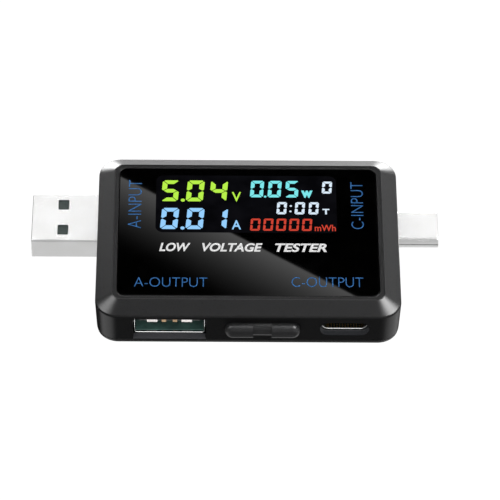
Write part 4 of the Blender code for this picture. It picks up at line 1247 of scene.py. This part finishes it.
tilt = add_node(
    tree,
    "ShaderNodeMapRange",
    {
        "Value": parts.outputs["X"],
        "From Min": -0.57,
        "From Max": 0.57,
        "To Min": 0.45 * 1.5,
        "To Max": 1.4 * 1.5,
    },
)
gloss = add_node(
    tree,
    "ShaderNodeMath",
    {0: ramp.outputs["Color"], 1: tilt.outputs["Result"]},
    operation="MULTIPLY",
).outputs[0]
SOFT_BOXES = [  # direction, half angle in degrees, strength
    ((0.533, 0.153, 0.831), 15, 28.0),
    ((-0.533, 0.153, 0.831), 14, 11.5),
    ((-0.32, 0.943, 0.09), 11, 24.0),
    ((0.273, 0.959, 0.071), 11, 16.0),
    ((0.15, 0.985, -0.085), 18, 1.0),
    ((-0.62, -0.3, -0.728), 22, 1.4),
    ((0.67, 0.015, -0.728), 26, 1.05),
]
for axis, half_angle, power in SOFT_BOXES:
    unit = np.array(axis) / np.linalg.norm(axis)
    towards = add_node(
        tree,
        "ShaderNodeVectorMath",
        {0: direction, 1: unit.tolist()},
        operation="DOT_PRODUCT",
    )
    spot = add_node(
        tree,
        "ShaderNodeMapRange",
        {
            "Value": towards.outputs["Value"],
            "From Min": math.cos(math.radians(1.5 * half_angle)),
            "From Max": math.cos(math.radians(0.5 * half_angle)),
            "To Max": power,
        },
        interpolation_type="SMOOTHSTEP",
    )
    gloss = add_node(
        tree, "ShaderNodeMath", {0: gloss, 1: spot.outputs["Result"]}, operation="ADD"
    ).outputs[0]
dome = add_node(
    tree,
    "ShaderNodeMapRange",
    {
        "Value": parts.outputs["Z"],
        "From Min": -1.0,
        "From Max": 1.0,
        "To Min": 0.45,
        "To Max": 1.1,
    },
)
rays = add_node(tree, "ShaderNodeLightPath")
by_gloss = add_node(
    tree,
    "ShaderNodeMix",
    {0: rays.outputs["Is Glossy Ray"], 2: dome.outputs["Result"], 3: gloss},
)
by_camera = add_node(
    tree,
    "ShaderNodeMix",
    {0: rays.outputs["Is Camera Ray"], 2: by_gloss.outputs[0], 3: 1.0},
)
surround = add_node(tree, "ShaderNodeBackground", {"Strength": by_camera.outputs[0]})
add_node(tree, "ShaderNodeOutputWorld", {"Surface": surround.outputs[0]})

# Soft boxes that light only the plugs or only the sockets: from below in front for their front
# edges, from above behind for the plugs' upper faces, and from in front for the sockets' inside.
plugs, sockets, hollow = (
    bpy.data.collections.new(name) for name in ("plug_shells", "socket_shells", "no_blockers")
)
for obj in (plug_a_shell, plug_c_shell):
    plugs.objects.link(obj)
for obj in (socket_a_shell, socket_c_shell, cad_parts["type_a_socket_tongue"]):
    sockets.objects.link(obj)
for index in range(1, 5):
    sockets.objects.link(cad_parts[f"type_a_socket_contact_{index}"])

BOX_SIZE, BOX_DISTANCE = 0.22, 0.3  # metres


def soft_box(name, aim, watts, receivers):
    """A round area light out along a direction from the meter, facing it."""
    light = bpy.data.lights.new(name, "AREA")
    light.shape = "DISK"
    light.size = BOX_SIZE
    light.energy = watts
    box = bpy.data.objects.new(name, light)
    scene.collection.objects.link(box)
    back = np.array(aim) / np.linalg.norm(aim)
    matrix = np.eye(4)
    matrix[:3, :3] = np.stack([[1.0, 0, 0], np.cross(back, [1.0, 0, 0]), back], axis=1)
    matrix[:3, 3] = back * BOX_DISTANCE
    box.matrix_world = matrix.T.tolist()
    box.light_linking.receiver_collection = receivers
    box.light_linking.blocker_collection = hollow


soft_box("low_front_box", (0.0, -0.686, -0.728), 0.07, plugs)
soft_box("high_back_box", (0.0, 0.686, 0.728), 0.06, plugs)
soft_box("low_socket_box", (0.0, -0.686, -0.728), 0.4, sockets)
soft_box("front_socket_box", (0.0, -0.9, 0.35), 0.2, sockets)

scene.view_settings.view_transform = "Standard"
